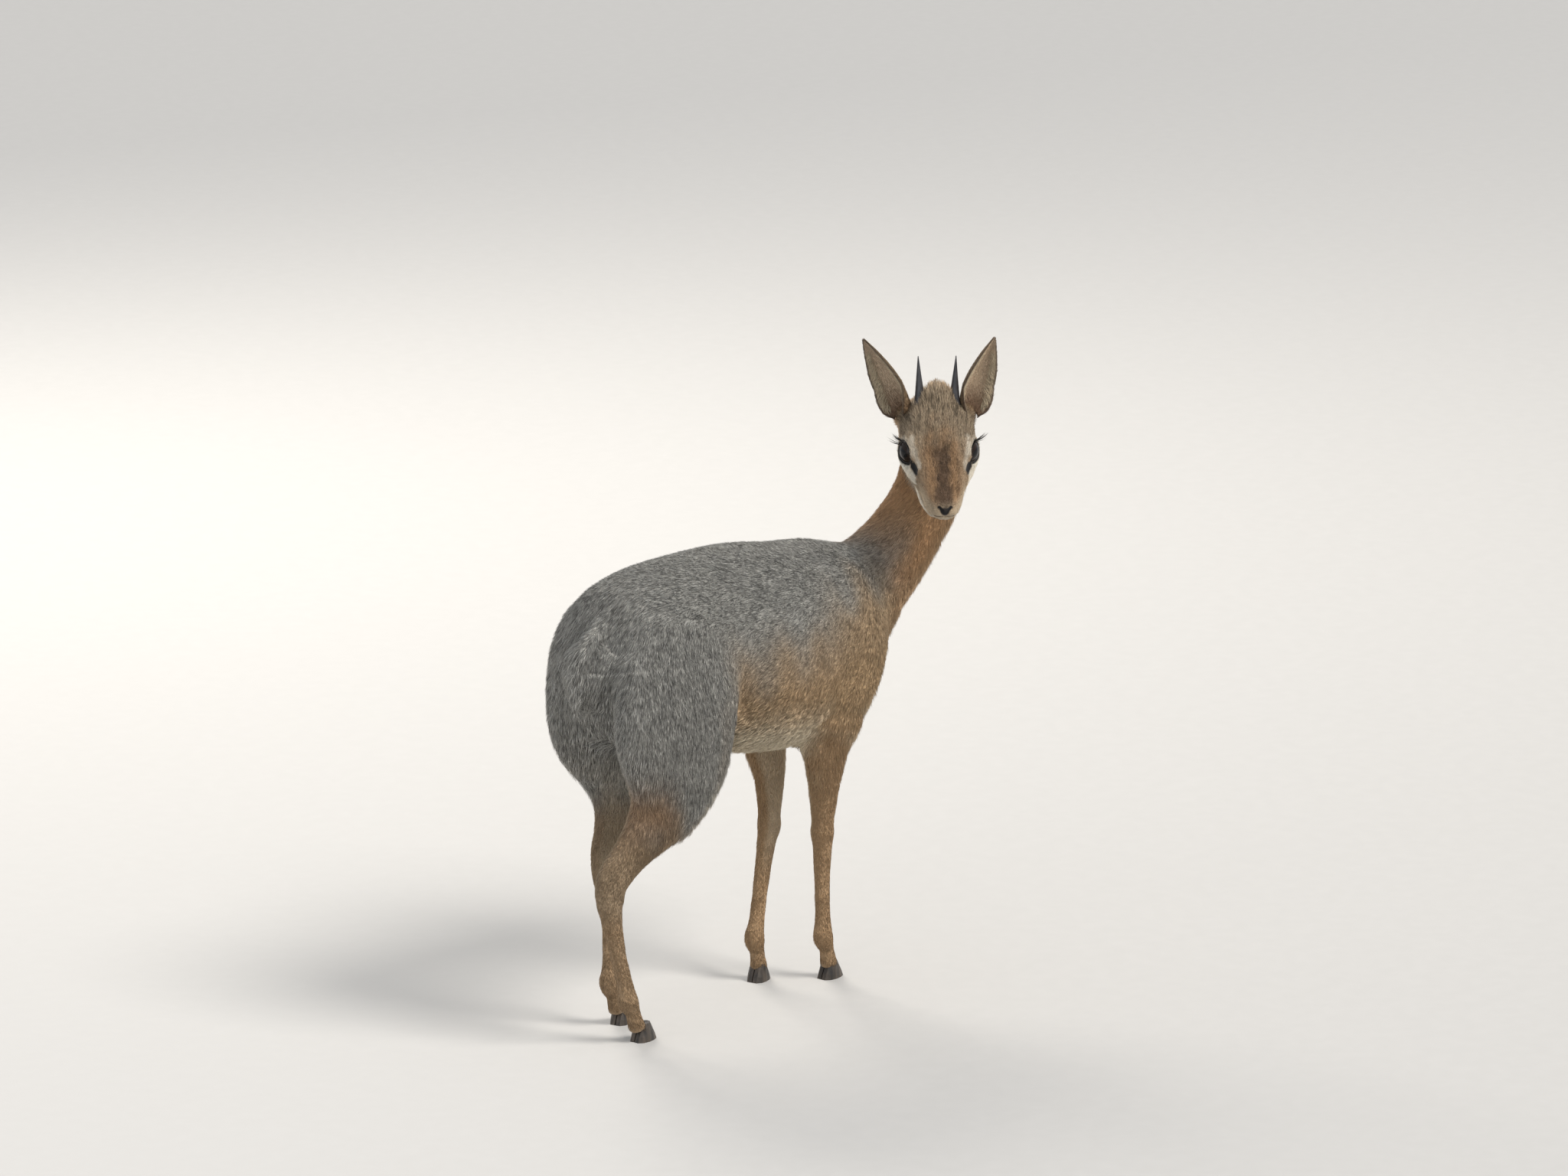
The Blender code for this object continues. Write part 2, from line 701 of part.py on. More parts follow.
# ---- hoof claws ------------------------------------------------------------------------------
def claw(at, side, heading):
    """One claw of a cloven hoof: a pointed wedge that is flat below and on its inner side."""
    length, width, high = HOOF_LENGTH, CLAW_WIDTH, HOOF_HEIGHT - 0.03
    forward = np.array([math.cos(heading), math.sin(heading), 0.0])
    left = np.array([-forward[1], forward[0], 0.0])
    rows = [  # share of the length at the sole and at the top, width share
        (0.00, 0.26, 0.55),
        (0.16, 0.30, 0.95),
        (0.42, 0.42, 1.00),
        (0.70, 0.54, 0.78),
        (0.90, 0.64, 0.42),
        (1.00, 0.69, 0.12),
    ]

    def build(bm):
        inner = 0.05
        rings = []
        for low, top, wide in rows:
            ring = []
            for share, lift, grow in (
                (low, 0.0, 1.0),
                (low + 0.25 * (top - low), 0.30, 0.98),
                (low + 0.7 * (top - low), 0.72, 0.88),
                (top, 1.0, 0.74),
            ):
                back = (share - 0.42) * length
                outer = inner + width * wide * grow
                for across in (outer, inner):
                    p = np.array([*at, 0.0]) + forward * back + left * side * across
                    ring.append(bm.verts.new((p[0] * CM, p[1] * CM, lift * high * CM)))
            # round the ring: outer side up, then inner side down
            rings.append([ring[0], ring[2], ring[4], ring[6], ring[7], ring[5], ring[3], ring[1]])
        for a, b in zip(rings, rings[1:]):
            for j in range(8):
                k = (j + 1) % 8
                bm.faces.new((a[j], a[k], b[k], b[j]))
        bm.faces.new(rings[0][::-1])
        bm.faces.new(rings[-1])
        bmesh.ops.recalc_face_normals(bm, faces=bm.faces)
        bmesh.ops.triangulate(bm, faces=bm.faces)

    return mesh_from("claw", build)


# ---- ears, eyes and horns --------------------------------------------------------------------
EAR_LEAN = {"right": (0.54, 0.24), "left": (0.28, 0.06)}  # how far each ear leans out and back
EAR_TWIST = {"right": 12.0, "left": 2.0}  # how far each opening is turned out, in degrees
EAR_ROOT = {side: head(-3.8, s * 2.72, 0.9) for side, s in (("right", -1), ("left", 1))}
EAR_PROFILE = catmull(  # share of the length, share of the greatest half width
    [(-0.2, 0.44), (0.0, 0.5), (0.12, 0.76), (0.32, 1.0), (0.52, 0.9), (0.72, 0.6), (0.88, 0.29), (1.0, 0.03)], 8
)


def ear_frame(side):
    """The ear's directions: root to tip, the way its opening faces, and across."""
    s = -1 if side == "right" else 1
    out = s * HEAD_LEFT
    lean_out, lean_back = EAR_LEAN[side]
    along = unit(lean_out * out + 0.86 * HEAD_UP - lean_back * HEAD_FORWARD)
    front = unit(HEAD_FORWARD * 0.88 + out * 0.46 + HEAD_UP * 0.1)
    front = unit(front - (front @ along) * along)
    across = np.cross(along, front)
    turn = math.radians(EAR_TWIST[side]) * (1 if across @ out > 0 else -1)
    front = front * math.cos(turn) + across * math.sin(turn)
    return along, front, np.cross(along, front)


def ear_point(side, t, v):
    """Points of the ear's middle surface in centimetres: t from root to tip, v from -1 to 1 across."""
    along, front, across = ear_frame(side)
    wide = EAR_WIDTH / 2 * np.interp(t, *EAR_PROFILE.T)
    bend = np.radians(140 - 78 * np.clip(t / 0.36, 0.0, 1.0))
    radius = wide / np.sin(np.minimum(bend, math.pi / 2))
    back = radius * np.cos(v * bend) - radius + 0.75 + 0.35 * np.sin(t * math.pi)
    return (
        EAR_ROOT[side]
        + along * (EAR_LENGTH * t)[:, None]
        - front * back[:, None]
        + across * (radius * np.sin(v * bend))[:, None]
    )


def ear(side):
    """A leaf-shaped ear: rolled into a tube at its root, open like a scoop above, pointed at the tip."""
    tall, around = 11, 8
    t, v = np.meshgrid(np.linspace(-0.12, 0.985, tall + 1), np.linspace(-1, 1, around + 1), indexing="ij")
    rows = ear_point(side, t.ravel(), v.ravel()) * CM

    def build(bm):
        made = [bm.verts.new(p) for p in rows]
        grid = [made[i * (around + 1) : (i + 1) * (around + 1)] for i in range(tall + 1)]
        for a, b in zip(grid, grid[1:]):
            for j in range(around):
                bm.faces.new((a[j], a[j + 1], b[j + 1], b[j]))
        bmesh.ops.recalc_face_normals(bm, faces=bm.faces)

    o = add("ear", mesh_from("ear", build))
    m = o.modifiers.new("thickness", "SOLIDIFY")
    m.thickness, m.offset, m.use_even_offset = EAR_THICKNESS * CM, 0.0, True
    o.modifiers.new("triangles", "TRIANGULATE")
    return evaluated(o)


def horn(side):
    """A short straight spike, ringed near its root."""
    s = -1 if side == "right" else 1
    root, tip = head(-2.5, s * 1.38, 1.5), head(-5.2, s * 1.58, 5.9)
    along = unit(tip - root)
    length = np.linalg.norm(tip - root)
    forward = unit(HEAD_FORWARD - (HEAD_FORWARD @ along) * along)
    left = np.cross(along, forward)

    def build(bm):
        rings, rows, sides = [], 14, 12
        for i in range(rows):
            t = i / (rows - 1)
            r = HORN_RADIUS * (1 - t) + 0.04
            r *= 1 + 0.06 * math.sin(t * 60) * max(0.0, 1 - t * 2.2)
            bow = 0.10 * math.sin(t * math.pi)
            rings.append(
                [
                    bm.verts.new(
                        (
                            root
                            + along * length * t
                            - forward * bow
                            + forward * r * 1.1 * math.cos(2 * math.pi * j / sides)
                            + left * r * math.sin(2 * math.pi * j / sides)
                        )
                        * CM
                    )
                    for j in range(sides)
                ]
            )
        for a, b in zip(rings, rings[1:]):
            for j in range(sides):
                k = (j + 1) % sides
                bm.faces.new((a[j], a[k], b[k], b[j]))
        bm.faces.new(rings[0][::-1])
        bm.faces.new(rings[-1])
        bmesh.ops.recalc_face_normals(bm, faces=bm.faces)
        bmesh.ops.triangulate(bm, faces=bm.faces)

    return mesh_from("horn", build)


def ball(at, radius, rings=10):
    def build(bm):
        bmesh.ops.create_uvsphere(
            bm,
            u_segments=rings + 8,
            v_segments=rings,
            radius=radius * CM,
            matrix=Matrix.Translation([c * CM for c in at]),
        )
        bmesh.ops.triangulate(bm, faces=bm.faces)

    return mesh_from("ball", build)


def swollen(mesh, by):
    """A copy of the mesh pushed out along its normals, used to keep the gap round a neighbour."""
    out = mesh.copy()
    p = points(out)
    n = np.array([v.normal for v in out.vertices])
    put_points(out, p + n * by)
    return out


def main():
    clear()
    grey = ((0.30, 0.27, 0.23), 0.9)  # colour and roughness
    tan = ((0.42, 0.27, 0.15), 0.9)
    dark = ((0.035, 0.033, 0.035), 0.4)
    eye = ((0.012, 0.008, 0.006), 0.08)

    pieces = flesh_pieces()

    # eyes sit in round sockets; horns and ears stand on the head
    for side in ("right", "left"):
        pieces["head"] = boolean(pieces["head"], ball(EYE_AT[side], EYE_RADIUS + GAP / CM), "DIFFERENCE")
    pieces["head"] = largest(pieces["head"])
    around_head = swollen(pieces["head"], GAP * 1.3)
    extra = {}
    for side in ("right", "left"):
        extra["eye_" + side] = ball(EYE_AT[side], EYE_RADIUS)
        extra["horn_" + side] = largest(boolean(horn(side), around_head.copy(), "DIFFERENCE"))
        extra["ear_" + side] = largest(boolean(ear(side), around_head.copy(), "DIFFERENCE"))

    # the legs end above the hooves, on a level cut
    ground = [((0, 0, HOOF_HEIGHT), (0, 0, -1))]
    for name in [n for n in pieces if n.startswith("leg_")]:
        pieces[name] = boolean(pieces[name], cell(ground), "INTERSECT")
        where = STANCE[name.replace("leg_", "")]
        heading = math.radians({"front_right": -6, "front_left": 4, "hind_right": -4, "hind_left": 5}[name.replace("leg_", "")])
        for side, word in ((1, "inner" if where[1] < 0 else "outer"), (-1, "outer" if where[1] < 0 else "inner")):
            extra[f"hoof_{name[4:]}_{word}"] = claw((where[0] + 0.55, where[1]), side, heading)

    # the origin goes to the middle of the animal's box, on the ground
    meshes = {**{n: largest(m) for n, m in pieces.items()}, **extra}
    for mesh in meshes.values():
        put_points(mesh, points(mesh) - np.array([*ORIGIN, 0.0]) * CM)
    for name, mesh in meshes.items():
        look = grey if name in ("trunk", "leg_hind_right", "leg_hind_left", "tail") else tan
        if name.startswith(("hoof", "horn")):
            look = dark
        if name.startswith("eye"):
            look = eye
        mesh.name = name
        add(name, mesh, finish(name + "_finish", *look))
        mesh.shade_smooth()
        mesh.set_sharp_from_angle(angle=math.radians(40))


main()
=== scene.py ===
"""The looks of the dik-dik: skin, coat, eyes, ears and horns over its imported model.

Everything is modelled in the same frame as the solids, from the same tubes and masses, and then
moved by the same shift, so that each piece lies where its solid lies.
"""

import math
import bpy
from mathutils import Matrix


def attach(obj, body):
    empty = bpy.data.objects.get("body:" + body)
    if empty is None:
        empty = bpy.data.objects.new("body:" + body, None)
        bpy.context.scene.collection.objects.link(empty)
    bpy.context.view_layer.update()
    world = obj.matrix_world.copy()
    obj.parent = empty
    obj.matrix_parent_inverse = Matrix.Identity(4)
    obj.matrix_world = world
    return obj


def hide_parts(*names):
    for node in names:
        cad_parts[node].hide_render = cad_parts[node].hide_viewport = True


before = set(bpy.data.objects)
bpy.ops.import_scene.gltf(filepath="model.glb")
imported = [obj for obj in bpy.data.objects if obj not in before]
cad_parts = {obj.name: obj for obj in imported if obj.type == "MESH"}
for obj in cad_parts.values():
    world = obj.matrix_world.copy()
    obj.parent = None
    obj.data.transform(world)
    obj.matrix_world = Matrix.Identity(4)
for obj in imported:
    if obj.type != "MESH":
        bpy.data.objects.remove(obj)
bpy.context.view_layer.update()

import bmesh
import bpy
import numpy as np
from mathutils import Matrix, Vector

CM = 0.01
GAP = 0.0003  # clear space between neighbouring pieces

# ---- driving sizes, in centimetres ---------------------------------------------------------
WITHERS_HEIGHT = 37.2
RUMP_HEIGHT = 38.8
BELLY_HEIGHT = 20.6
CANNON_RADIUS = 0.65
CARPUS_HEIGHT = 12.8
HOCK_HEIGHT = 13.9
FETLOCK_HEIGHT = 3.7
HOOF_HEIGHT = 1.55  # top of the claws, where the cut to the leg lies
HOOF_LENGTH = 2.5
CLAW_WIDTH = 0.74
EYE_RADIUS = 1.2
LID_THICKNESS = 0.13
EAR_LENGTH = 7.4
EAR_WIDTH = 3.2
EAR_THICKNESS = 0.17
HORN_LENGTH = 5.0
HORN_RADIUS = 0.57

# where the hooves stand: animal's right and left, front and hind
STANCE = {
    "front_right": (12.0, -2.4),
    "front_left": (7.6, 1.7),
    "hind_right": (-12.9, -2.4),
    "hind_left": (-9.8, 2.3),
}
# how far each leg's own stations move fore (+) or aft at a height: (height, move)
SWING = {
    "front_right": ((0, -0.9), (12.8, -1.1), (19.0, -0.7), (23.5, 0.0)),
    "front_left": ((0, -5.3), (3.6, -4.9), (9.5, -3.2), (12.8, -2.0), (17.0, -0.7), (22.0, 0.0)),
    "hind_right": ((0, 0.0), (20.0, 0.0)),
    "hind_left": (
        (0, 3.1),
        (3.7, 3.4),
        (8.0, 5.0),
        (14.0, 6.5),
        (18.0, 5.4),
        (22.0, 4.0),
        (27.0, 2.6),
        (32.0, 1.6),
        (36.0, 0.8),
    ),
}

# the head: middle point between the eyes, and where the face points
HEAD_AT = np.array([20.0, -8.0, 44.5])
HEAD_TURN = 222.0  # degrees from +X: it looks back over its right shoulder
HEAD_DROP = 27.0  # degrees below level

# the middle of the finished animal's box on the ground, in the frame it is modelled in
ORIGIN = (3.897, -2.419)

CAGE_VOXEL = 0.0045
SKIN_VOXEL = 0.0036
FLESH_TRIANGLES = 4300


def unit(v):
    v = np.asarray(v, float)
    return v / np.linalg.norm(v, axis=-1, keepdims=True)


_turn, _drop = math.radians(HEAD_TURN), math.radians(HEAD_DROP)
HEAD_FORWARD = np.array(
    [math.cos(_turn) * math.cos(_drop), math.sin(_turn) * math.cos(_drop), -math.sin(_drop)]
)
HEAD_UP = np.array(
    [math.cos(_turn) * math.sin(_drop), math.sin(_turn) * math.sin(_drop), math.cos(_drop)]
)
HEAD_LEFT = np.cross(HEAD_UP, HEAD_FORWARD)


def head(u, s, w):
    """A point of the head in centimetres: u forward, s to the animal's left, w up, from between the eyes."""
    return HEAD_AT + u * HEAD_FORWARD + s * HEAD_LEFT + w * HEAD_UP


def catmull(rows, steps):
    """A smooth curve through the rows, with this many steps from each to the next."""
    rows = np.asarray(rows, float)
    ends = np.vstack([2 * rows[0] - rows[1], rows, 2 * rows[-1] - rows[-2]])
    out = []
    for i in range(1, len(ends) - 2):
        a, b, c, d = ends[i - 1 : i + 3]
        for k in range(steps):
            t = k / steps
            out.append(
                0.5
                * (
                    2 * b
                    + (c - a) * t
                    + (2 * a - 5 * b + 4 * c - d) * t * t
                    + (3 * b - a - 3 * c + d) * t**3
                )
            )
    out.append(rows[-1])
    return np.array(out)


FINER = 6  # smooth steps within each straight stretch that a tube is searched by


class Loft:
    """A tube through stations (x, y, z, half width, radius on its upper side, radius on its lower side)."""

    def __init__(self, stations, up, blend, steps=5, power=2.0, cap=0.8):
        rows = catmull(np.asarray(stations, float) * CM, steps * FINER)
        self.at, self.radii = rows[:, :3], np.maximum(rows[:, 3:6], 0.002)
        self.line = self.at[::FINER]
        self.blend, self.power, self.cap = blend * CM, power, cap
        self.along = unit(np.gradient(self.at, axis=0))
        up = np.broadcast_to(np.asarray(up, float), self.at.shape)
        self.up = unit(up - (up * self.along).sum(1, keepdims=True) * self.along)
        self.side = np.cross(self.up, self.along)
        reach = self.radii.max() + 0.03
        self.low, self.high = self.at.min(0) - reach, self.at.max(0) + reach

    def field(self, p):
        """Signed distance, about, from each point to the tube's wall: negative inside."""
        out = np.full(len(p), 0.5)
        near = np.flatnonzero(((p > self.low) & (p < self.high)).all(1))
        for part in np.array_split(near, max(1, len(near) // 20000 + 1)):
            if len(part):
                out[part] = self._field(p[part])
        return out

    def _field(self, p):
        a, run = self.line[:-1], np.diff(self.line, axis=0)
        t = np.clip(
            (p @ run.T - (a * run).sum(1)) / (run * run).sum(1), 0.0, 1.0
        )
        gap = ((p[:, None, :] - a - t[:, :, None] * run) ** 2).sum(2)
        k = gap.argmin(1)
        share = (k + t[np.arange(len(p)), k]) * FINER
        k = np.minimum(share.astype(int), len(self.at) - 2)
        t = (share - k)[:, None]

        def mix(rows):
            return rows[k] * (1 - t) + rows[k + 1] * t

        d, radii = p - mix(self.at), mix(self.radii)
        side, up, along = (d * mix(v) for v in (self.side, self.up, self.along))
        side, up, along = side.sum(1), up.sum(1), along.sum(1)
        tall = np.where(up > 0, radii[:, 1], radii[:, 2])
        end = self.cap * np.minimum(radii[:, 0], tall)
        n = self.power
        flat = (np.abs(side) / radii[:, 0]) ** n + (np.abs(up) / tall) ** n
        k = np.sqrt(flat ** (2 / n) + (along / end) ** 2)
        length = np.linalg.norm(d, axis=1)
        return np.where(k > 1e-6, length - length / np.maximum(k, 1e-6), -radii[:, 0])

    def cage(self, bm, sides=20):
        """Adds the tube as rings bridged along its line, with round ends."""
        rings = []
        end = self.cap * self.radii.min(1)
        bows = [(math.cos(a), math.sin(a)) for a in np.radians([80, 55, 28])]
        rows = [(0, -end[0] * s, c) for c, s in bows]
        rows += [(i, 0.0, 1.0) for i in range(0, len(self.at), FINER)]
        rows += [(-1, end[-1] * s, c) for c, s in reversed(bows)]
        for i, push, size in rows:
            ring = []
            for j in range(sides):
                a = 2 * math.pi * j / sides
                c, s = math.cos(a), math.sin(a)
                tall = self.radii[i, 1] if s > 0 else self.radii[i, 2]
                p = (
                    self.at[i]
                    + self.along[i] * push
                    + self.side[i] * c * self.radii[i, 0] * size
                    + self.up[i] * s * tall * size
                )
                ring.append(bm.verts.new(p))
            rings.append(ring)
        for a, b in zip(rings, rings[1:]):
            for j in range(sides):
                k = (j + 1) % sides
                bm.faces.new((a[j], b[j], b[k], a[k]))
        bm.faces.new(rings[0])
        bm.faces.new(rings[-1][::-1])


class Mass:
    """An egg-shaped mass: a middle, three radii and the three directions they run in."""

    def __init__(self, at, radii, blend, axes=None):
        self.at, self.radii, self.blend = np.asarray(at, float) * CM, np.asarray(radii, float) * CM, blend * CM
        self.axes = unit(np.eye(3) if axes is None else axes)

    def field(self, p):
        out = np.full(len(p), 0.5)
        near = np.flatnonzero(np.abs(p - self.at).max(1) < self.radii.max() + 0.03)
        d = p[near] - self.at
        k = np.sqrt((((d @ self.axes.T) / self.radii) ** 2).sum(1))
        length = np.linalg.norm(d, axis=1)
        out[near] = np.where(k > 1e-6, length - length / np.maximum(k, 1e-6), -self.radii.min())
        return out

    def cage(self, bm):
        turn = Matrix(self.axes.T.tolist()).to_4x4()
        place = Matrix.Translation(self.at.tolist()) @ turn @ Matrix.Diagonal((*self.radii, 1.0))
        bmesh.ops.create_uvsphere(bm, u_segments=20, v_segments=12, radius=1.0, matrix=place)


class Swell:
    """A soft rise (or a dent, if its height is negative) in the flesh round a point."""

    def __init__(self, at, height, reach, axes=None):
        self.at, self.height, self.reach = np.asarray(at, float) * CM, height * CM, np.asarray(reach, float) * CM
        self.axes = unit(np.eye(3) if axes is None else axes)

    def __call__(self, p):
        out = np.zeros(len(p))
        near = np.flatnonzero(np.abs(p - self.at).max(1) < self.reach.max() * 3.2)
        q = ((p[near] - self.at) @ self.axes.T) / self.reach
        out[near] = self.height * np.exp(-0.5 * (q * q).sum(1))
        return out


HEAD_AXES = (HEAD_FORWARD, HEAD_LEFT, HEAD_UP)


# ---- the trunk and the neck ------------------------------------------------------------------
def trunk():
    top, belly = WITHERS_HEIGHT, BELLY_HEIGHT
    rows = [  # x, half width, back height, underline height
        (-15.3, 2.7, 33.6, 27.6),
        (-14.2, 4.5, 35.8, 25.8),
        (-12.8, 5.8, RUMP_HEIGHT - 1.3, 24.6),
        (-9.0, 6.3, RUMP_HEIGHT - 0.3, 23.9),
        (-3.5, 6.3, RUMP_HEIGHT - 0.1, belly + 2.2),
        (2.5, 6.9, RUMP_HEIGHT - 0.3, belly + 0.7),
        (8.0, 6.8, top + 0.5, belly),
        (12.5, 5.8, top - 0.2, belly + 0.3),
        (15.7, 4.3, top - 1.9, belly + 2.8),
        (18.0, 2.9, 32.8, 26.0),
    ]
    stations = []
    for x, wide, back, under in rows:
        middle = 30.3 - 0.06 * x
        stations.append((x, -0.02 * x, middle, wide, back - middle, middle - under))
    return Loft(stations, (0, 0, 1), 2.4, steps=7, power=2.15)


def neck():
    rows = [
        (9.5, -0.1, 31.0, 4.4, 4.2, 5.6),
        (15.0, -0.8, 32.0, 4.2, 3.75, 5.0),
        (19.5, -2.2, 34.8, 3.4, 2.6, 4.2),
        (22.1, -3.7, 38.6, 2.95, 2.05, 3.7),
        (23.1, -4.9, 41.8, 2.85, 2.7, 3.3),
        (23.0, -5.6, 44.6, 2.8, 2.9, 2.8),
    ]
    return Loft(rows, (-1.0, 0.2, 0.55), 3.2)


def tail():
    rows = [
        (-13.8, 0.1, 34.6, 0.8, 0.7, 0.8),
        (-15.7, 0.1, 33.6, 0.85, 0.62, 0.8),
        (-17.1, 0.1, 31.8, 0.85, 0.55, 0.7),
        (-17.65, 0.1, 29.6, 0.7, 0.45, 0.55),
        (-17.75, 0.1, 28.0, 0.4, 0.3, 0.35),
    ]
    return Loft(rows, (-1, 0, 0.3), 1.1)


# ---- legs ------------------------------------------------------------------------------------
def leg_rows(rows, side, leg, home):
    """The leg's own stations carried over to where its hoof stands."""
    heights, moves = zip(*SWING[leg])
    drift = STANCE[leg][1] * side - home
    return [
        (
            x + float(np.interp(z, heights, moves)),
            side * (y + drift * float(np.interp(z, (0, 20), (1, 0)))),
            z,
            *radii,
        )
        for x, y, z, *radii in rows
    ]


def front_leg(side, leg):
    """Upper arm, forearm, knee, cannon, fetlock and pastern. side is -1 on the animal's right."""
    c, k = CANNON_RADIUS, CARPUS_HEIGHT
    rows = [
        (11.4, 3.5, 22.6, 1.9, 2.7, 3.2),
        (11.5, 3.35, 20.2, 1.65, 2.1, 2.7),
        (11.9, 3.0, 17.0, 1.25, 1.4, 1.7),
        (12.2, 2.7, k + 1.3, 1.0, 1.0, 1.04),
        (12.35, 2.6, k, 1.0, 1.06, 1.0),
        (12.4, 2.55, k - 1.5, 0.8, 0.82, 0.88),
        (12.5, 2.45, 8.2, c, c, c + 0.1),
        (12.6, 2.4, 5.2, c + 0.02, c + 0.02, c + 0.12),
        (12.65, 2.4, FETLOCK_HEIGHT, 0.86, 0.78, 0.95),
        (13.05, 2.4, 2.5, 0.68, 0.6, 0.66),
        (13.35, 2.4, 1.2, 0.74, 0.76, 0.76),
    ]
    return Loft(leg_rows(rows, side, leg, 2.4), (1, 0, 0), 1.6, cap=0.4)


def shoulder(side):
    """Shoulder blade and upper arm: down and forward from the withers, then back to the elbow."""
    rows = [
        (8.8, 3.2, 33.6, 1.7, 2.8, 3.0),
        (11.8, 4.0, 31.4, 2.2, 3.6, 3.4),
        (13.9, 4.1, 28.2, 2.2, 2.8, 3.4),
        (13.1, 4.0, 25.2, 2.1, 2.5, 3.2),
        (11.9, 3.6, 22.8, 1.75, 2.5, 2.7),
    ]
    return Loft([(x, side * y, *rest) for x, y, *rest in rows], (1, 0, 0.6), 2.0)


def hind_leg(side, leg):
    """Haunch, gaskin, hock, cannon, fetlock and pastern."""
    c, h = CANNON_RADIUS + 0.03, HOCK_HEIGHT
    rows = [
        (-10.4, 3.4, 33.6, 2.4, 3.8, 3.6),
        (-11.0, 4.2, 30.6, 3.0, 6.2, 5.6),
        (-11.0, 4.6, 26.8, 3.1, 7.4, 6.6),
        (-11.2, 4.5, 23.2, 2.8, 6.8, 5.7),
        (-12.0, 4.2, 20.2, 2.2, 5.2, 3.9),
        (-13.5, 3.7, 17.9, 1.65, 3.0, 2.5),
        (-15.2, 3.2, 16.0, 1.25, 2.0, 1.95),
        (-16.6, 2.9, h + 0.4, 1.15, 1.5, 1.95),
        (-16.9, 2.75, h - 1.1, 1.05, 1.3, 1.42),
        (-16.5, 2.6, h - 2.8, 0.84, 0.9, 1.0),
        (-15.6, 2.45, 8.0, c, c, c + 0.1),
        (-14.6, 2.4, 5.1, c, c, c + 0.12),
        (-14.2, 2.4, FETLOCK_HEIGHT, 0.86, 0.8, 0.96),
        (-13.6, 2.4, 2.5, 0.68, 0.62, 0.68),
        (-13.1, 2.4, 1.2, 0.74, 0.78, 0.76),
    ]
    return Loft(leg_rows(rows, side, leg, 2.4), (1, 0, 0), 2.4, cap=0.4)


# ---- the head --------------------------------------------------------------------------------
def skull():
    rows = [  # u, middle w, half width, up, down
        (-5.6, 0.3, 1.7, 1.7, 1.8),
        (-4.4, 0.3, 2.75, 2.3, 2.5),
        (-2.7, 0.3, 3.15, 2.5, 2.8),
        (-0.8, 0.2, 3.15, 2.2, 2.9),
        (1.1, 0.0, 2.85, 1.9, 2.7),
        (2.9, -0.25, 2.4, 1.6, 2.3),
        (4.6, -0.6, 1.8, 1.4, 1.8),
        (5.9, -0.9, 1.4, 1.15, 1.3),
        (6.7, -1.15, 0.98, 0.85, 0.85),
    ]
    return Loft(
        [(*head(u, 0, w), wide, up, down) for u, w, wide, up, down in rows], HEAD_UP, 1.0, power=2.2, cap=0.6
    )


def jaw():
    rows = [
        (-2.9, -1.9, 1.9, 1.2, 1.3),
        (-0.6, -2.3, 1.95, 1.0, 1.1),
        (2.0, -2.35, 1.95, 0.9, 0.85),
        (4.2, -2.2, 1.72, 0.8, 0.65),
        (5.6, -2.05, 1.28, 0.6, 0.5),
    ]
    return Loft([(*head(u, 0, w), wide, up, down) for u, w, wide, up, down in rows], HEAD_UP, 0.7)


EYE_AT = {"right": head(0.1, -2.08, 0.1), "left": head(0.1, 2.08, 0.1)}
EYE_LOOKS = {  # the way each eye points: out, forward and a little up
    side: unit(0.5 * HEAD_FORWARD + s * 0.82 * HEAD_LEFT + 0.22 * HEAD_UP)
    for side, s in (("right", -1), ("left", 1))
}


def head_masses():
    found = [
        Mass(head(-2.4, 0, 1.75), (2.5, 2.0, 1.3), 1.0, HEAD_AXES),  # brow between the horns
        Mass(
            head(-3.3, 0, 2.75),
            (1.3, 1.6, 1.55),
            1.0,
            (HEAD_FORWARD * 0.85 + HEAD_UP * 0.52, HEAD_LEFT, HEAD_UP * 0.85 - HEAD_FORWARD * 0.52),
        ),  # crest of hair
        Mass(head(5.5, 0, -0.6), (1.5, 1.1, 0.8), 0.7, HEAD_AXES),  # the full, soft snout
    ]
    for s in (-1, 1):
        found.append(Mass(head(-1.7, s * 1.75, -1.5), (1.9, 0.95, 1.6), 0.9, HEAD_AXES))  # chewing muscle
        found.append(Mass(head(-4.4, s * 2.45, 0.3), (1.05, 0.97, 1.05), 0.8, HEAD_AXES))  # root of the ear
    for at in EYE_AT.values():
        found.append(Mass(at, [EYE_RADIUS + LID_THICKNESS] * 3, 0.75))  # eye socket and lids
    return found


class Opening:
    """The almond gap between the lids: a cone out of the eye's middle."""

    def __init__(self, at, looks, corner, long_angle, high_angle):
        self.at, self.out = np.asarray(at) * CM, unit(looks)
        corner = unit(corner - (corner @ self.out) * self.out)
        self.long, self.high = corner, np.cross(self.out, corner)
        self.spread = math.tan(math.radians(long_angle)), math.tan(math.radians(high_angle))

    def field(self, p):
        out = np.full(len(p), 0.5)
        near = np.flatnonzero(np.abs(p - self.at).max(1) < 0.03)
        d = p[near] - self.at
        a, b = np.abs(d @ self.long) / self.spread[0], np.abs(d @ self.high) / self.spread[1]
        out[near] = 0.62 * ((a**1.7 + b**1.7) ** (1 / 1.7) - d @ self.out)
        return out


OPENINGS = [
    Opening(EYE_AT[side], EYE_LOOKS[side], HEAD_FORWARD - 0.42 * HEAD_UP, 50.0, 38.0)
    for side in ("right", "left")
]

SHAPES = [trunk(), neck(), tail()]
for _side in (-1, 1):
    _name = "right" if _side < 0 else "left"
    SHAPES += [
        shoulder(_side),
        front_leg(_side, "front_" + _name),
        hind_leg(_side, "hind_" + _name),
    ]
HEAD_SHAPES = [skull(), jaw(), *head_masses()]
SHAPES += HEAD_SHAPES

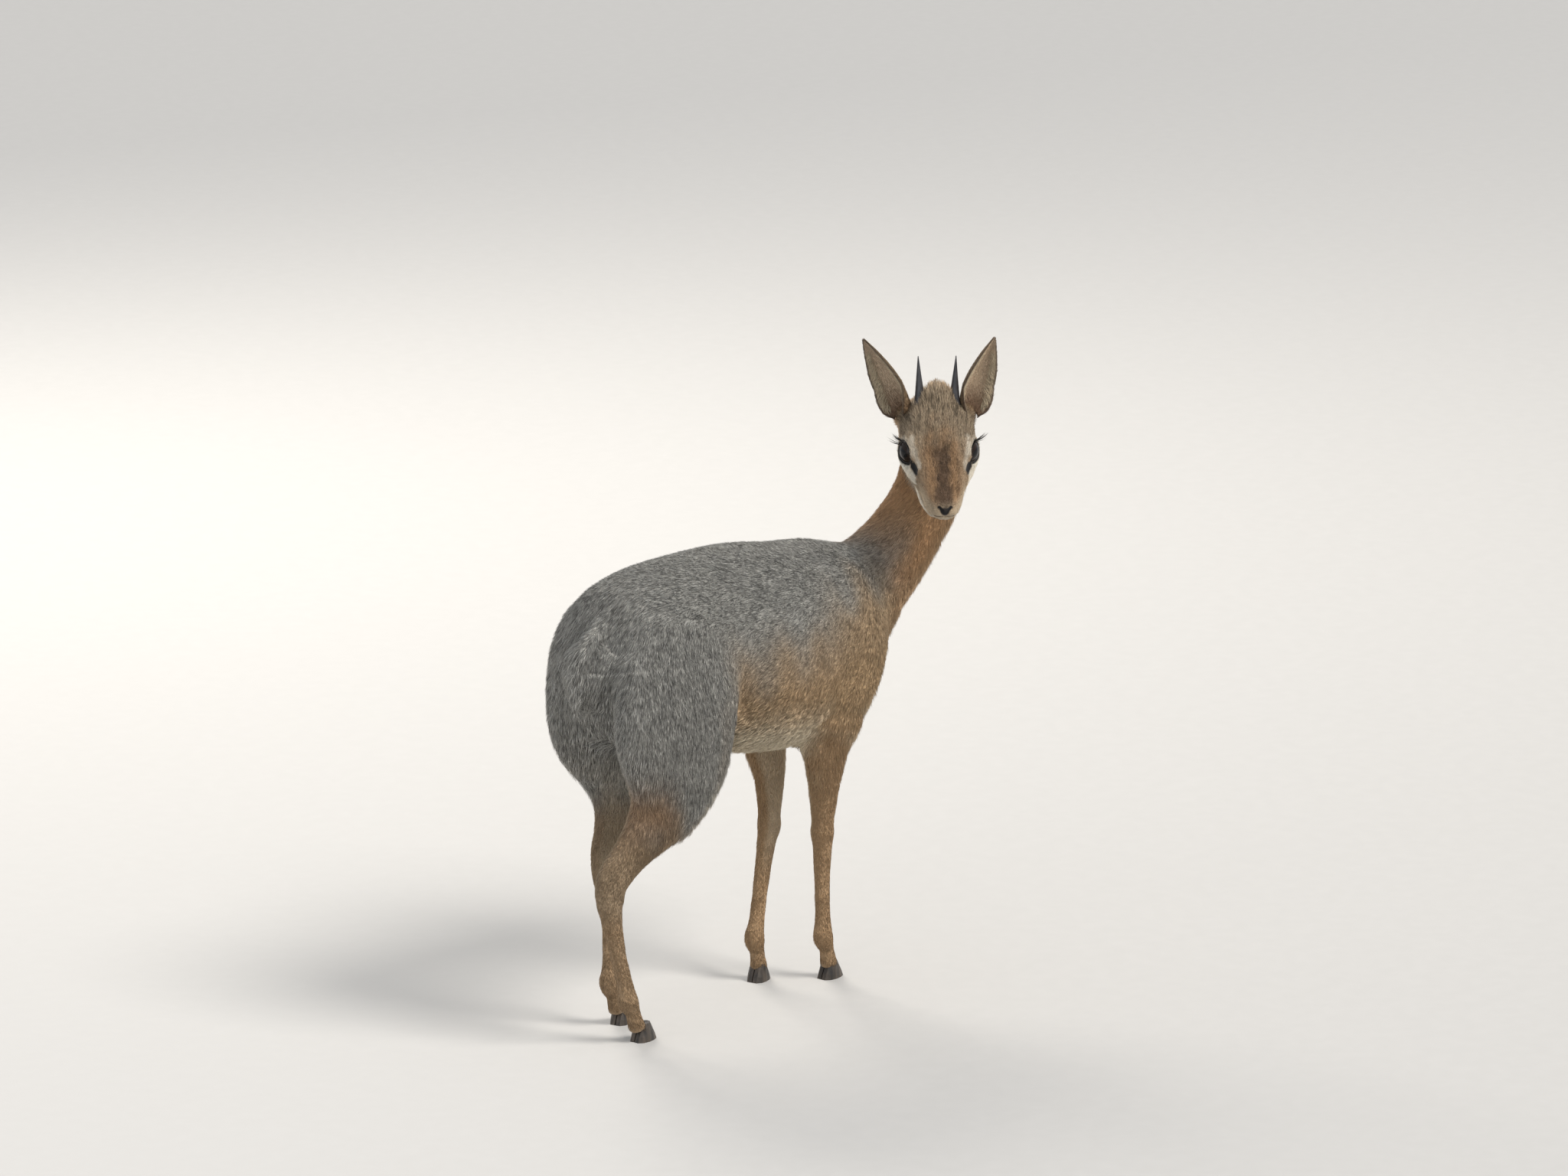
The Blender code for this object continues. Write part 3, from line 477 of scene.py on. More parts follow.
SWELLS = [
    Swell((-2.6, -6.2, 26.0), -0.7, (1.6, 1.6, 3.2)),  # hollow of the flank, before the haunch
    Swell((-2.6, 6.2, 26.0), -0.7, (1.6, 1.6, 3.2)),
    Swell((-15.0, 0.0, 21.5), -1.2, (3.5, 1.0, 3.5)),  # between the thighs
    Swell((17.6, 0.0, 22.4), -0.5, (2.2, 0.9, 2.2)),  # between the forelegs
    Swell(head(0.9, 0, 2.2), -0.22, (1.4, 1.3, 1.2), HEAD_AXES),  # the stop, between the eyes
]
for _side in (-1, 1):
    SWELLS += [
        Swell(head(2.8, _side * 2.2, 0.3), -0.16, (0.45, 0.4, 0.4), HEAD_AXES),  # tear gland before the eye
        Swell(head(1.7, _side * 2.75, -0.4), 0.30, (1.1, 0.7, 0.8), HEAD_AXES),  # cheekbone under the eye
        Swell(head(7.2, _side * 0.45, -0.6), -0.10, (0.3, 0.22, 0.2), HEAD_AXES),  # nostril
        Swell(head(0.0, _side * 2.2, 1.55), 0.16, (1.0, 0.5, 0.35), HEAD_AXES),  # brow over the eye
    ]


def smooth_min(a, b, reach):
    h = np.maximum(reach - np.abs(a - b), 0.0) / reach
    return np.minimum(a, b) - h * h * reach * 0.25


def flesh(p):
    """The whole animal's surface as one field, in metres: zero on the coat's outside, negative inside."""
    out = SHAPES[0].field(p)
    for shape in SHAPES[1:]:
        out = smooth_min(out, shape.field(p), shape.blend)
    for swell in SWELLS:
        out = out - swell(p)
    for gap in OPENINGS:
        out = -smooth_min(-out, gap.field(p), 0.0008)
    return out


def drawn_onto(p, rounds, field=flesh, most=0.004):
    """The points moved along the field's slope until they lie on its zero surface."""
    e = 0.0004
    for _ in range(rounds):
        f = field(p)
        slope = np.stack([(field(p + e * d) - f) / e for d in np.eye(3)], 1)
        steep = np.maximum((slope * slope).sum(1), 0.09)
        step = -(f / steep)[:, None] * slope
        length = np.linalg.norm(step, axis=1, keepdims=True)
        p = p + step * np.minimum(1.0, most / np.maximum(length, 1e-9))
    return p


# ---- Blender helpers -------------------------------------------------------------------------
def add(name, mesh, material=None):
    o = bpy.data.objects.new(name, mesh)
    bpy.context.scene.collection.objects.link(o)
    if material:
        mesh.materials.clear()
        mesh.materials.append(material)
    return o


def mesh_from(name, build):
    bm = bmesh.new()
    build(bm)
    mesh = bpy.data.meshes.new(name)
    bm.to_mesh(mesh)
    bm.free()
    return mesh


def evaluated(o):
    """The object's mesh with its modifiers applied; the object goes."""
    graph = bpy.context.evaluated_depsgraph_get()
    mesh = bpy.data.meshes.new_from_object(o.evaluated_get(graph))
    bpy.data.objects.remove(o)
    return mesh


def points(mesh):
    co = np.zeros(len(mesh.vertices) * 3, np.float32)
    mesh.vertices.foreach_get("co", co)
    return co.reshape(-1, 3).astype(float)


def put_points(mesh, p):
    mesh.vertices.foreach_set("co", p.astype(np.float32).ravel())
    mesh.update()


def relaxed(mesh, rounds=14):
    """Evens out small unevenness of body and limbs without shrinking them; the face stays as it is."""
    p = points(mesh)
    ends = np.zeros(len(mesh.edges) * 2, np.int32)
    mesh.edges.foreach_get("vertices", ends)
    a, b = ends.reshape(-1, 2).T
    count = np.bincount(a, minlength=len(p)) + np.bincount(b, minlength=len(p))
    face = np.linalg.norm((p - HEAD_AT * CM) @ np.array(HEAD_AXES).T / (0.09, 0.045, 0.05), axis=1)
    free = np.clip((face - 0.9) / 0.25, 0.0, 1.0)
    for _ in range(rounds):
        for pull in (0.5, -0.52):
            near = np.stack(
                [np.bincount(a, p[b, k], len(p)) + np.bincount(b, p[a, k], len(p)) for k in range(3)], 1
            )
            p = p + (pull * free)[:, None] * (near / count[:, None] - p)
    put_points(mesh, p)


def remeshed(mesh, voxel):
    o = add("cage", mesh)
    m = o.modifiers.new("join", "REMESH")
    m.mode, m.voxel_size = "VOXEL", voxel
    return evaluated(o)


def largest(mesh):
    """Only the mesh's largest connected piece, so that a cut leaves no crumbs."""
    bm = bmesh.new()
    bm.from_mesh(mesh)
    bmesh.ops.remove_doubles(bm, verts=bm.verts, dist=1e-6)
    left, best = set(bm.verts), []
    while left:
        start = left.pop()
        found, edge = {start}, [start]
        while edge:
            v = edge.pop()
            for e in v.link_edges:
                w = e.other_vert(v)
                if w in left:
                    left.discard(w)
                    found.add(w)
                    edge.append(w)
        if len(found) > len(best):
            best = found
    bmesh.ops.delete(bm, geom=[v for v in bm.verts if v not in best], context="VERTS")
    bmesh.ops.triangulate(bm, faces=bm.faces)
    bm.to_mesh(mesh)
    bm.free()
    return mesh


EAR_LEAN = {"right": (0.54, 0.24), "left": (0.28, 0.06)}  # how far each ear leans out and back
EAR_TWIST = {"right": 12.0, "left": 2.0}  # how far each opening is turned out, in degrees
EAR_ROOT = {side: head(-3.8, s * 2.72, 0.9) for side, s in (("right", -1), ("left", 1))}
EAR_PROFILE = catmull(  # share of the length, share of the greatest half width
    [(-0.2, 0.44), (0.0, 0.5), (0.12, 0.76), (0.32, 1.0), (0.52, 0.9), (0.72, 0.6), (0.88, 0.29), (1.0, 0.03)], 8
)


def ear_frame(side):
    """The ear's directions: root to tip, the way its opening faces, and across."""
    s = -1 if side == "right" else 1
    out = s * HEAD_LEFT
    lean_out, lean_back = EAR_LEAN[side]
    along = unit(lean_out * out + 0.86 * HEAD_UP - lean_back * HEAD_FORWARD)
    front = unit(HEAD_FORWARD * 0.88 + out * 0.46 + HEAD_UP * 0.1)
    front = unit(front - (front @ along) * along)
    across = np.cross(along, front)
    turn = math.radians(EAR_TWIST[side]) * (1 if across @ out > 0 else -1)
    front = front * math.cos(turn) + across * math.sin(turn)
    return along, front, np.cross(along, front)


def ear_point(side, t, v):
    """Points of the ear's middle surface in centimetres: t from root to tip, v from -1 to 1 across."""
    along, front, across = ear_frame(side)
    wide = EAR_WIDTH / 2 * np.interp(t, *EAR_PROFILE.T)
    bend = np.radians(140 - 78 * np.clip(t / 0.36, 0.0, 1.0))
    radius = wide / np.sin(np.minimum(bend, math.pi / 2))
    back = radius * np.cos(v * bend) - radius + 0.75 + 0.35 * np.sin(t * math.pi)
    return (
        EAR_ROOT[side]
        + along * (EAR_LENGTH * t)[:, None]
        - front * back[:, None]
        + across * (radius * np.sin(v * bend))[:, None]
    )


# ---- finer modelling of the face -------------------------------------------------------------
class Groove:
    """A narrow furrow along a line of points in the flesh."""

    def __init__(self, rows, depth, width):
        self.at = drawn_onto(catmull(rows, 5) * CM, 4)
        self.depth, self.width = depth * CM, width * CM
        self.low, self.high = self.at.min(0) - 0.004, self.at.max(0) + 0.004

    def away(self, p):
        """Distance from each point to the line, in metres."""
        out = np.full(len(p), 0.05)
        near = np.flatnonzero(((p > self.low) & (p < self.high)).all(1))
        q = p[near]
        a, run = self.at[:-1], np.diff(self.at, axis=0)
        t = np.clip((q @ run.T - (a * run).sum(1)) / (run * run).sum(1), 0.0, 1.0)
        gap = ((q[:, None, :] - a - t[:, :, None] * run) ** 2).sum(2)
        out[near] = np.sqrt(gap.min(1))
        return out

    def __call__(self, p):
        return -self.depth * np.exp(-((self.away(p) / self.width) ** 2))


def lines(*rows, depth=0.0, width=0.2):
    """A furrow, or only a line where the depth is 0, on each side of the head."""
    return [Groove([head(u, side * s, w) for u, s, w in rows], depth, width) for side in (-1, 1)]


MOUTH = lines((7.3, 0.03, -1.2), (7.0, 0.5, -1.28), (6.2, 1.0, -1.42), (5.1, 1.4, -1.62), (4.0, 1.7, -1.95), depth=0.09, width=0.09)
SLITS = lines((7.35, 0.10, -0.82), (7.3, 0.22, -0.66), (7.15, 0.34, -0.5), (6.95, 0.45, -0.45), depth=0.13, width=0.08)
GLANDS = lines((2.5, 2.35, 0.42), (2.85, 2.22, 0.33), (3.2, 2.1, 0.22), depth=0.13, width=0.18)
TEARS = lines((1.75, 2.5, 0.62), (2.15, 2.45, 0.52), (2.6, 2.3, 0.42))
STRIPES = lines((0.3, 2.35, 1.7), (1.5, 2.3, 1.3), (2.4, 2.1, 1.0), (3.2, 2.0, 0.75))
PATCHES = lines((-0.6, 3.1, -0.75), (1.0, 3.05, -0.65), (2.3, 2.8, -0.45), (3.3, 2.35, -0.45))
for _side in (-1, 1):
    SWELLS += [
        Swell(head(6.75, _side * 0.62, -0.4), 0.05, (0.35, 0.22, 0.25), HEAD_AXES),  # wing of the nostril
        Swell(head(5.7, _side * 1.15, -1.05), 0.08, (0.8, 0.35, 0.3), HEAD_AXES),  # upper lip
        Swell(head(1.7, _side * 2.75, 0.1), 0.06, (0.5, 0.4, 0.3), HEAD_AXES),  # lower lid's bag
    ]
SWELLS += MOUTH + SLITS + GLANDS


def step(a, b, t):
    t = np.clip((t - a) / (b - a), 0.0, 1.0)
    return t * t * (3 - 2 * t)


def on_head(p):
    """The points' places on the head in centimetres: forward, left, up."""
    return ((p / CM) - HEAD_AT) @ np.array(HEAD_AXES).T


def headness(p):
    """1 on the head and 0 from the upper neck down."""
    u, s, w = on_head(p).T
    reach = np.sqrt(((u - 0.8) / 8.2) ** 2 + (s / 4.6) ** 2 + ((w - 0.2) / 4.6) ** 2)
    return 1 - step(0.93, 1.12, reach)


def coat_depth(p):
    """How deep the coat lies over the skin, in metres."""
    x, y, z = (p / CM).T
    depth = 0.07 + 0.12 * step(12.5, 22.0, z)
    u, s, w = on_head(p).T
    crest = np.exp(-(((u + 3.4) / 1.5) ** 2 + (s / 1.3) ** 2 + ((w - 3.9) / 1.7) ** 2))
    face = 0.06 + 0.12 * step(1.5, -3.0, u) * step(-1.0, 1.5, w) + 0.30 * crest
    h = headness(p)
    return (depth * (1 - h) + face * h) * CM


def skin(p):
    """The skin's field: the flesh surface let down by the depth of the coat."""
    return flesh(p) + coat_depth(p)


def slid(p, normals, rounds, most=0.0015):
    """The points moved along their own normals until they lie on the skin."""
    e = 0.0003
    for _ in range(rounds):
        f = skin(p)
        slope = (skin(p + normals * e) - f) / e
        slope = np.where(np.abs(slope) < 0.35, 0.35, slope)
        p = p - normals * np.clip(f / slope, -most, most)[:, None]
    return p


def vertex_normals(mesh):
    n = np.zeros(len(mesh.vertices) * 3, np.float32)
    mesh.vertex_normals.foreach_get("vector", n)
    return n.reshape(-1, 3).astype(float)


def subdivided(mesh, wanted):
    """The faces whose middle is wanted are cut into four."""
    bm = bmesh.new()
    bm.from_mesh(mesh)
    middles = np.array([f.calc_center_median() for f in bm.faces])
    chosen = set(np.flatnonzero(wanted(middles)).tolist())
    edges = {e for i, f in enumerate(bm.faces) if i in chosen for e in f.edges}
    bmesh.ops.subdivide_edges(bm, edges=list(edges), cuts=1, use_grid_fill=True)
    bm.to_mesh(mesh)
    bm.free()
    return mesh


def skin_mesh():
    def build(bm):
        for shape in SHAPES:
            shape.cage(bm)
        bmesh.ops.recalc_face_normals(bm, faces=bm.faces)

    body = remeshed(mesh_from("cage", build), 0.0045)
    put_points(body, drawn_onto(points(body), 4, skin))
    body = remeshed(body, 0.0030)
    put_points(body, drawn_onto(points(body), 2, skin))
    relaxed(body, 16)
    body = largest(body)
    body = remeshed(body, 0.0023)
    put_points(body, slid(points(body), vertex_normals(body), 1))
    relaxed(body, 8)

    def face(m):
        u, s, w = on_head(m).T
        return (u > -5.5) & (u < 9) & (np.abs(s) < 4) & (w > -4.2) & (w < 4.2) & (headness(m) > 0.6)

    def features(m):
        u, s, w = on_head(m).T
        near_eye = np.min([np.linalg.norm(m - at * CM, axis=1) for at in EYE_AT.values()], axis=0) < 0.0185
        near_mouth = np.min([g.away(m) for g in MOUTH + SLITS + GLANDS], axis=0) < 0.003
        return near_eye | near_mouth

    body = subdivided(body, face)
    put_points(body, slid(points(body), vertex_normals(body), 2))
    body = subdivided(body, features)
    put_points(body, slid(points(body), vertex_normals(body), 2, 0.0008))
    return body


# ---- markings --------------------------------------------------------------------------------
def rgb(r, g, b):
    c = np.array([r, g, b]) / 255.0
    return np.where(c <= 0.04045, c / 12.92, ((c + 0.055) / 1.055) ** 2.4)


GREY = rgb(174, 172, 166)
FLANK = rgb(196, 167, 131)
TAN = rgb(196, 167, 130)
NECK_TAN = rgb(202, 160, 117)
CREAM = rgb(230, 216, 190)
LEG_TAN = rgb(180, 149, 114)
HOCK_GREY = rgb(166, 141, 110)
RUFOUS = rgb(174, 140, 106)
FACE = rgb(172, 148, 120)
CROWN = rgb(168, 150, 126)
BRIDGE = rgb(168, 132, 95)
BRIDGE_DARK = rgb(92, 72, 56)
CHEEK = rgb(186, 162, 132)
PALE = rgb(236, 228, 212)
INK = rgb(18, 15, 14)


def waves(p, size, seed, count=9):
    """Smooth unevenness between about -1 and 1, with patches of about this size in metres."""
    r = np.random.default_rng(seed)
    k = unit(r.normal(size=(count, 3))) * (2 * math.pi / size) * r.uniform(0.6, 1.5, (count, 1))
    return np.sin(p @ k.T + r.uniform(0, 6.28, count)).sum(1) / math.sqrt(count) * 0.9


def markings(p, n):
    """Colour of the coat at points of the skin, and how strongly its hairs are banded there."""
    x, y, z = (p / CM).T
    nx, ny, nz = n.T
    wob = waves(p, 0.05, 3)
    c = np.tile(GREY, (len(p), 1))
    band = np.ones(len(p))

    def paint(colour, mask, banded=None):
        nonlocal c, band
        m = np.clip(mask, 0, 1)
        c = c + (colour - c) * m[:, None]
        if banded is not None:
            band = band + (banded - band) * m

    zz, xx = z + 0.8 * wob, x + 1.2 * wob
    thigh = np.max([step(0.006, -0.002, loft.field(p)) for loft in HINDS], axis=0)
    paint(FLANK, step(34.0, 26.0, zz) * step(-8.5, -3.0, xx) * (1 - 0.75 * thigh), 0.45)
    paint(TAN, step(4.0, 12.0, xx) * step(36.5, 31.0, zz) * 0.8, 0.5)
    nape = step(0.1, 0.7, n @ unit(np.array([-1.0, 0.2, 0.55]))) * step(22.0, 18.0, x)
    to_neck = step(15.3, 20.3, x + 0.4 * wob) * step(28.0, 35.0, z + 0.5 * wob)
    paint(NECK_TAN, to_neck * (0.95 - 0.4 * nape * step(41.0, 34.0, z)), 0.35)
    # legs
    front, hind = step(2.0, 5.0, x), step(-3.0, -6.0, x)
    paint(LEG_TAN, front * step(25.0, 20.5, zz) * 0.95, 0.1)
    paint(HOCK_GREY, hind * step(20.5, 16.0, zz) * 0.9, 0.2)
    paint(RUFOUS, hind * np.exp(-(((z - 20.0) / 2.4) ** 2)) * step(-10.5, -14.0, x + 0.5 * (z - 19.5)) * 0.85, 0.4)
    paint(LEG_TAN, hind * step(13.0, 9.5, zz) * 0.6, 0.1)
    paint(LEG_TAN * 0.72, step(3.6, 1.9, z) * 0.6, 0.2)
    # the pale underside, inner legs and throat
    inner = step(0.25, 0.85, -ny * np.sign(y)) * step(0.6, 1.6, np.abs(y))
    paint(CREAM, inner * step(24.0, 21.0, z) * step(8.0, 14.0, z) * (0.18 + 0.3 * front), 0.15)
    paint(CREAM, step(0.25, 0.8, -nz) * step(29.0, 26.0, z) * step(15.0, 18.0, z) * step(-9.5, -6.5, x) * 0.95, 0.1)
    paint(CREAM, step(24.4, 22.0, zz) * step(19.5, 20.5, z) * step(-7.0, -3.5, x) * step(9.5, 6.5, x) * 0.7 * (1 - thigh), 0.15)
    throat = step(0.25, 0.95, n @ unit(np.array([0.75, -0.35, -0.55])))
    paint(rgb(190, 165, 132), throat * step(30, 34, z) * step(12, 17, x) * 0.5, 0.2)

    # the head
    u, s, w = on_head(p).T
    nu, ns, nw = (n @ np.array(HEAD_AXES).T).T
    h = headness(p)
    a = np.abs(s)
    uneven = waves(p, 0.012, 17)
    paint(FACE, h, 0.75)
    paint(CHEEK, h * step(0.5, -0.9, w + 0.1 * u + 0.2 * uneven) * 0.85, 0.3)
    paint(CROWN, h * step(2.6, -0.6, u + 0.5 * uneven) * step(-0.2, 1.3, w) * 0.95, 1.0)
    paint(NECK_TAN * 0.9, h * step(-2.8, -5.2, u + 0.4 * uneven) * 0.6, 0.6)
    paint(BRIDGE, h * step(-1.6, 3.0, u + 0.4 * uneven) * step(2.0, 0.9, a) * step(0.1, 0.6, nw) * 0.85, 0.9)
    # a dark band down the top of the bridge: partly a darker marking, partly painted shade
    paint(BRIDGE_DARK, h * step(0.2, 2.6, u) * step(1.0, 0.25, a + 0.15 * uneven) * step(0.2, 0.7, nw) * 0.85, 0.9)
    paint(BRIDGE_DARK, h * step(5.4, 6.9, u) * step(1.0, 0.4, a) * step(-0.5, 0.0, w) * 0.6, 0.3)
    paint(rgb(205, 187, 160), h * step(3.0, 5.0, u) * step(0.1, -0.7, w) * 0.65, 0.2)
    paint(PALE, h * step(-1.5, -2.0, w + 0.05 * u) * step(-3.5, 0.0, u) * 0.9, 0.05)
    paint(PALE, h * step(-0.35, -0.8, nw) * step(-4.0, -1.0, u) * 0.8, 0.05)

    def from_lines(found):
        return np.min([g.away(p) for g in found], axis=0) / CM

    # pale marks round the eye, dark lid edge, dark gland
    ring = np.min([o.field(p) for o in OPENINGS], axis=0) / CM
    eye_far = np.min([np.linalg.norm(p / CM - at, axis=1) for at in EYE_AT.values()], axis=0)
    close = step(2.15, 1.85, eye_far)
    paint(PALE, h * close * step(0.5, 0.2, ring) * (0.35 + 0.55 * step(0.6, -0.4, w)), 0.05)
    paint(PALE, h * step(0.4, 0.05, from_lines(STRIPES) + 0.07 * uneven) * 0.55, 0.2)
    paint(PALE, h * step(0.8, 0.35, from_lines(PATCHES) + 0.08 * uneven) * 0.9, 0.05)
    gland = from_lines(GLANDS)
    paint(INK, h * close * step(0.13, 0.07, ring) * step(1.5, 1.36, eye_far), 0.0)
    paint(INK, h * step(0.20, 0.12, from_lines(TEARS)), 0.0)
    paint(INK, h * step(0.36, 0.24, gland), 0.0)
    pad = np.sqrt(((u - 7.25) / 0.62) ** 2 + (s / (0.40 + 0.30 * (w + 0.7))) ** 2 + ((w + 0.72) / 0.38) ** 2)
    paint(rgb(48, 40, 36), h * step(1.15, 0.85, pad), 0.0)
    paint(INK * 0.6, h * step(0.22, 0.12, from_lines(SLITS)), 0.0)
    paint(rgb(60, 46, 38), h * step(0.13, 0.06, from_lines(MOUTH)) * 0.85, 0.0)
    return np.clip(c, 0.0, 1.0), band


def bare(p):
    """1 where the skin carries no hair: lids, glands, nostrils and lips' edge."""
    ring = np.min([o.field(p) for o in OPENINGS], axis=0) / CM
    slit = np.min([g.away(p) for g in SLITS], axis=0) / CM
    gland = np.min([g.away(p) for g in GLANDS], axis=0) / CM
    mouth = np.min([g.away(p) for g in MOUTH], axis=0) / CM
    u, s, w = on_head(p).T
    pad = np.sqrt(((u - 7.25) / 0.62) ** 2 + (s / (0.40 + 0.30 * (w + 0.7))) ** 2 + ((w + 0.72) / 0.38) ** 2)
    eye_far = np.min([np.linalg.norm(p / CM - at, axis=1) for at in EYE_AT.values()], axis=0)
    lids = (ring < 0.09) & (eye_far < 1.5)
    return lids | (slit < 0.16) | (gland < 0.26) | (mouth < 0.06) | (pad < 0.95)


# ---- how the hair lies -----------------------------------------------------------------------
def placed(loft, p):
    """For each point: how far along the tube (0 to 1), the angle round it and the tube's direction there."""
    share, angle, along = np.zeros(len(p)), np.zeros(len(p)), np.zeros((len(p), 3))
    a, run = loft.line[:-1], np.diff(loft.line, axis=0)
    for part in np.array_split(np.arange(len(p)), max(1, len(p) // 20000 + 1)):
        q = p[part]
        t = np.clip((q @ run.T - (a * run).sum(1)) / (run * run).sum(1), 0.0, 1.0)
        gap = ((q[:, None, :] - a - t[:, :, None] * run) ** 2).sum(2)
        k = gap.argmin(1)
        t = t[np.arange(len(q)), k][:, None]
        mid = a[k] + run[k] * t
        d = q - mid
        share[part] = (k + t[:, 0]) / len(run)
        angle[part] = np.arctan2((d * loft.side[k * FINER]).sum(1), (d * loft.up[k * FINER]).sum(1)) / (2 * math.pi) + 0.5
        along[part] = loft.along[k * FINER] * (1 - t) + loft.along[(k + 1) * FINER] * t
    return share, angle, along


def hair_lie(p, n):
    """The way the hairs lie on the skin: nose to tail on head, neck and trunk, and down the legs."""
    total = np.zeros((len(p), 3))
    for loft, way, pull in LIES:
        weight = pull * np.exp(-np.clip(loft.field(p), -0.01, 0.12) / 0.009)
        total += way * weight[:, None] * placed(loft, p)[2]
    x, y, z = (p / CM).T
    total = unit(total + 1e-9)
    down = step(36.0, 27.0, z) * step(14.0, 20.0, z) * (1 - headness(p))
    total[:, 2] -= 0.5 * down
    total[:, 0] -= 0.25 * down * step(18.0, 26.0, z)
    total[:, 2] -= 1.8 * step(-11.0, -14.0, x) * step(37.0, 34.0, z) * step(14.0, 19.0, z)
    u, s, w = on_head(p).T
    crest = np.exp(-(((u + 3.3) / 1.5) ** 2 + (s / 1.3) ** 2)) * step(1.6, 3.0, w)
    back = (0.35 + 1.5 * step(-2.8, -4.6, u))[:, None]
    total += (1.6 * crest)[:, None] * (HEAD_UP - back * HEAD_FORWARD)
    swirl = waves(p, 0.035, 11)[:, None] * np.cross(n, total) * 0.12
    total = total + swirl
    return unit(total - (total * n).sum(1, keepdims=True) * n)


def hair_form(p, n):
    """Length, width (cm), lift (degrees) and number per square centimetre of the tufts."""
    x, y, z = (p / CM).T
    u, s, w = on_head(p).T
    h = headness(p)
    up = step(12.0, 22.0, z)
    length = 0.42 + 0.18 * up
    wide = 0.041 + 0.024 * up
    lift = 8.0 + 10.0 * up
    many = 165.0 - 71.0 * up
    belly = step(0.1, 0.7, -n[:, 2]) * step(15.0, 18.0, z)
    fold = step(24.6, 22.6, z) * step(20.0, 21.0, z) * step(-8.0, -4.0, x) * step(10.0, 7.0, x)
    length = length + 0.48 * np.maximum(belly, fold) * (1 - h)
    many = many - 34 * np.maximum(belly, fold)
    lift = lift + 14.0 * belly * (1 - h)
    neck = step(14, 20, x) * step(31, 35, z)
    length = length - 0.06 * neck
    wide = wide - 0.008 * neck
    many = many + 45 * neck
    stern = step(-12.0, -16.0, x) * step(22.0, 26.0, z)
    tail = step(0.004, 0.0, TAIL.field(p)) * step(-16.2, -17.3, x)
    length = length + 0.08 * stern + 0.30 * tail
    face = 0.27 + 0.27 * step(4.5, -3.0, u) - 0.06 * step(5.0, 7.0, u)
    eye_far = np.min([np.linalg.norm(p / CM - at, axis=1) for at in EYE_AT.values()], axis=0)
    face = face * (0.55 + 0.45 * step(1.5, 2.3, eye_far))
    crest = np.exp(-(((u + 3.2) / 1.4) ** 2 + (s / 1.2) ** 2)) * step(1.4, 3.0, w)
    face = face + 0.42 * crest
    face_wide = 0.034 + 0.016 * step(3.0, -3.0, u) + 0.006 * crest
    face_lift = 15.0 + 9.0 * crest + 3 * step(-1.0, -4.0, u)
    length = length * (1 - h) + face * h
    wide = wide * (1 - h) + face_wide * h
    lift = lift * (1 - h) + face_lift * h
    many = many * (1 - h) + (200.0 - 50.0 * step(2.0, -3.0, u) + 50.0 * crest) * h
    return length, wide, lift, many


def triangles_of(mesh):
    mesh.calc_loop_triangles()
    t = np.zeros(len(mesh.loop_triangles) * 3, np.int32)
    mesh.loop_triangles.foreach_get("vertices", t)
    return t.reshape(-1, 3)


def scattered(mesh, rng):
    """Roots spread over the skin as densely as the coat asks: points and normals."""
    p, n, t = points(mesh), vertex_normals(mesh), triangles_of(mesh)
    a, b, c = p[t[:, 0]], p[t[:, 1]], p[t[:, 2]]
    area = np.linalg.norm(np.cross(b - a, c - a), axis=1) / 2
    middle, facing = (a + b + c) / 3, unit(n[t].sum(1))
    many = hair_form(middle, facing)[3] * area * 1e4
    count = rng.poisson(many)
    k = np.repeat(np.arange(len(t)), count)
    r1, r2 = np.sqrt(rng.random(len(k))), rng.random(len(k))
    wa, wb, wc = (1 - r1)[:, None], (r1 * (1 - r2))[:, None], (r1 * r2)[:, None]
    t = t[k]
    return p[t[:, 0]] * wa + p[t[:, 1]] * wb + p[t[:, 2]] * wc, unit(
        n[t[:, 0]] * wa + n[t[:, 1]] * wb + n[t[:, 2]] * wc
    )


def mesh_of(name, verts, polys, colours, uv=None):
    """A mesh from arrays: vertices, a list of face arrays, a colour for each vertex and perhaps a map."""
    mesh = bpy.data.meshes.new(name)
    mesh.vertices.add(len(verts))
    mesh.vertices.foreach_set("co", verts.astype(np.float32).ravel())
    loops = np.concatenate([f.ravel() for f in polys]).astype(np.int32)
    sizes = np.concatenate([np.full(len(f), f.shape[1]) for f in polys])
    starts = np.concatenate([[0], np.cumsum(sizes)[:-1]]).astype(np.int32)
    mesh.loops.add(len(loops))
    mesh.loops.foreach_set("vertex_index", loops)
    mesh.polygons.add(len(sizes))
    mesh.polygons.foreach_set("loop_start", starts)
    mesh.update(calc_edges=True)
    paint_mesh(mesh, colours)
    if uv is not None:
        layer = mesh.uv_layers.new(name="OFBake")
        layer.data.foreach_set("uv", uv[loops].astype(np.float32).ravel())
    mesh.shade_smooth()
    return mesh


def paint_mesh(mesh, colours):
    found = mesh.color_attributes.new(name="Coat", type="FLOAT_COLOR", domain="POINT")
    rgba = np.ones((len(colours), 4), np.float32)
    rgba[:, :3] = colours
    found.data.foreach_set("color", rgba.ravel())


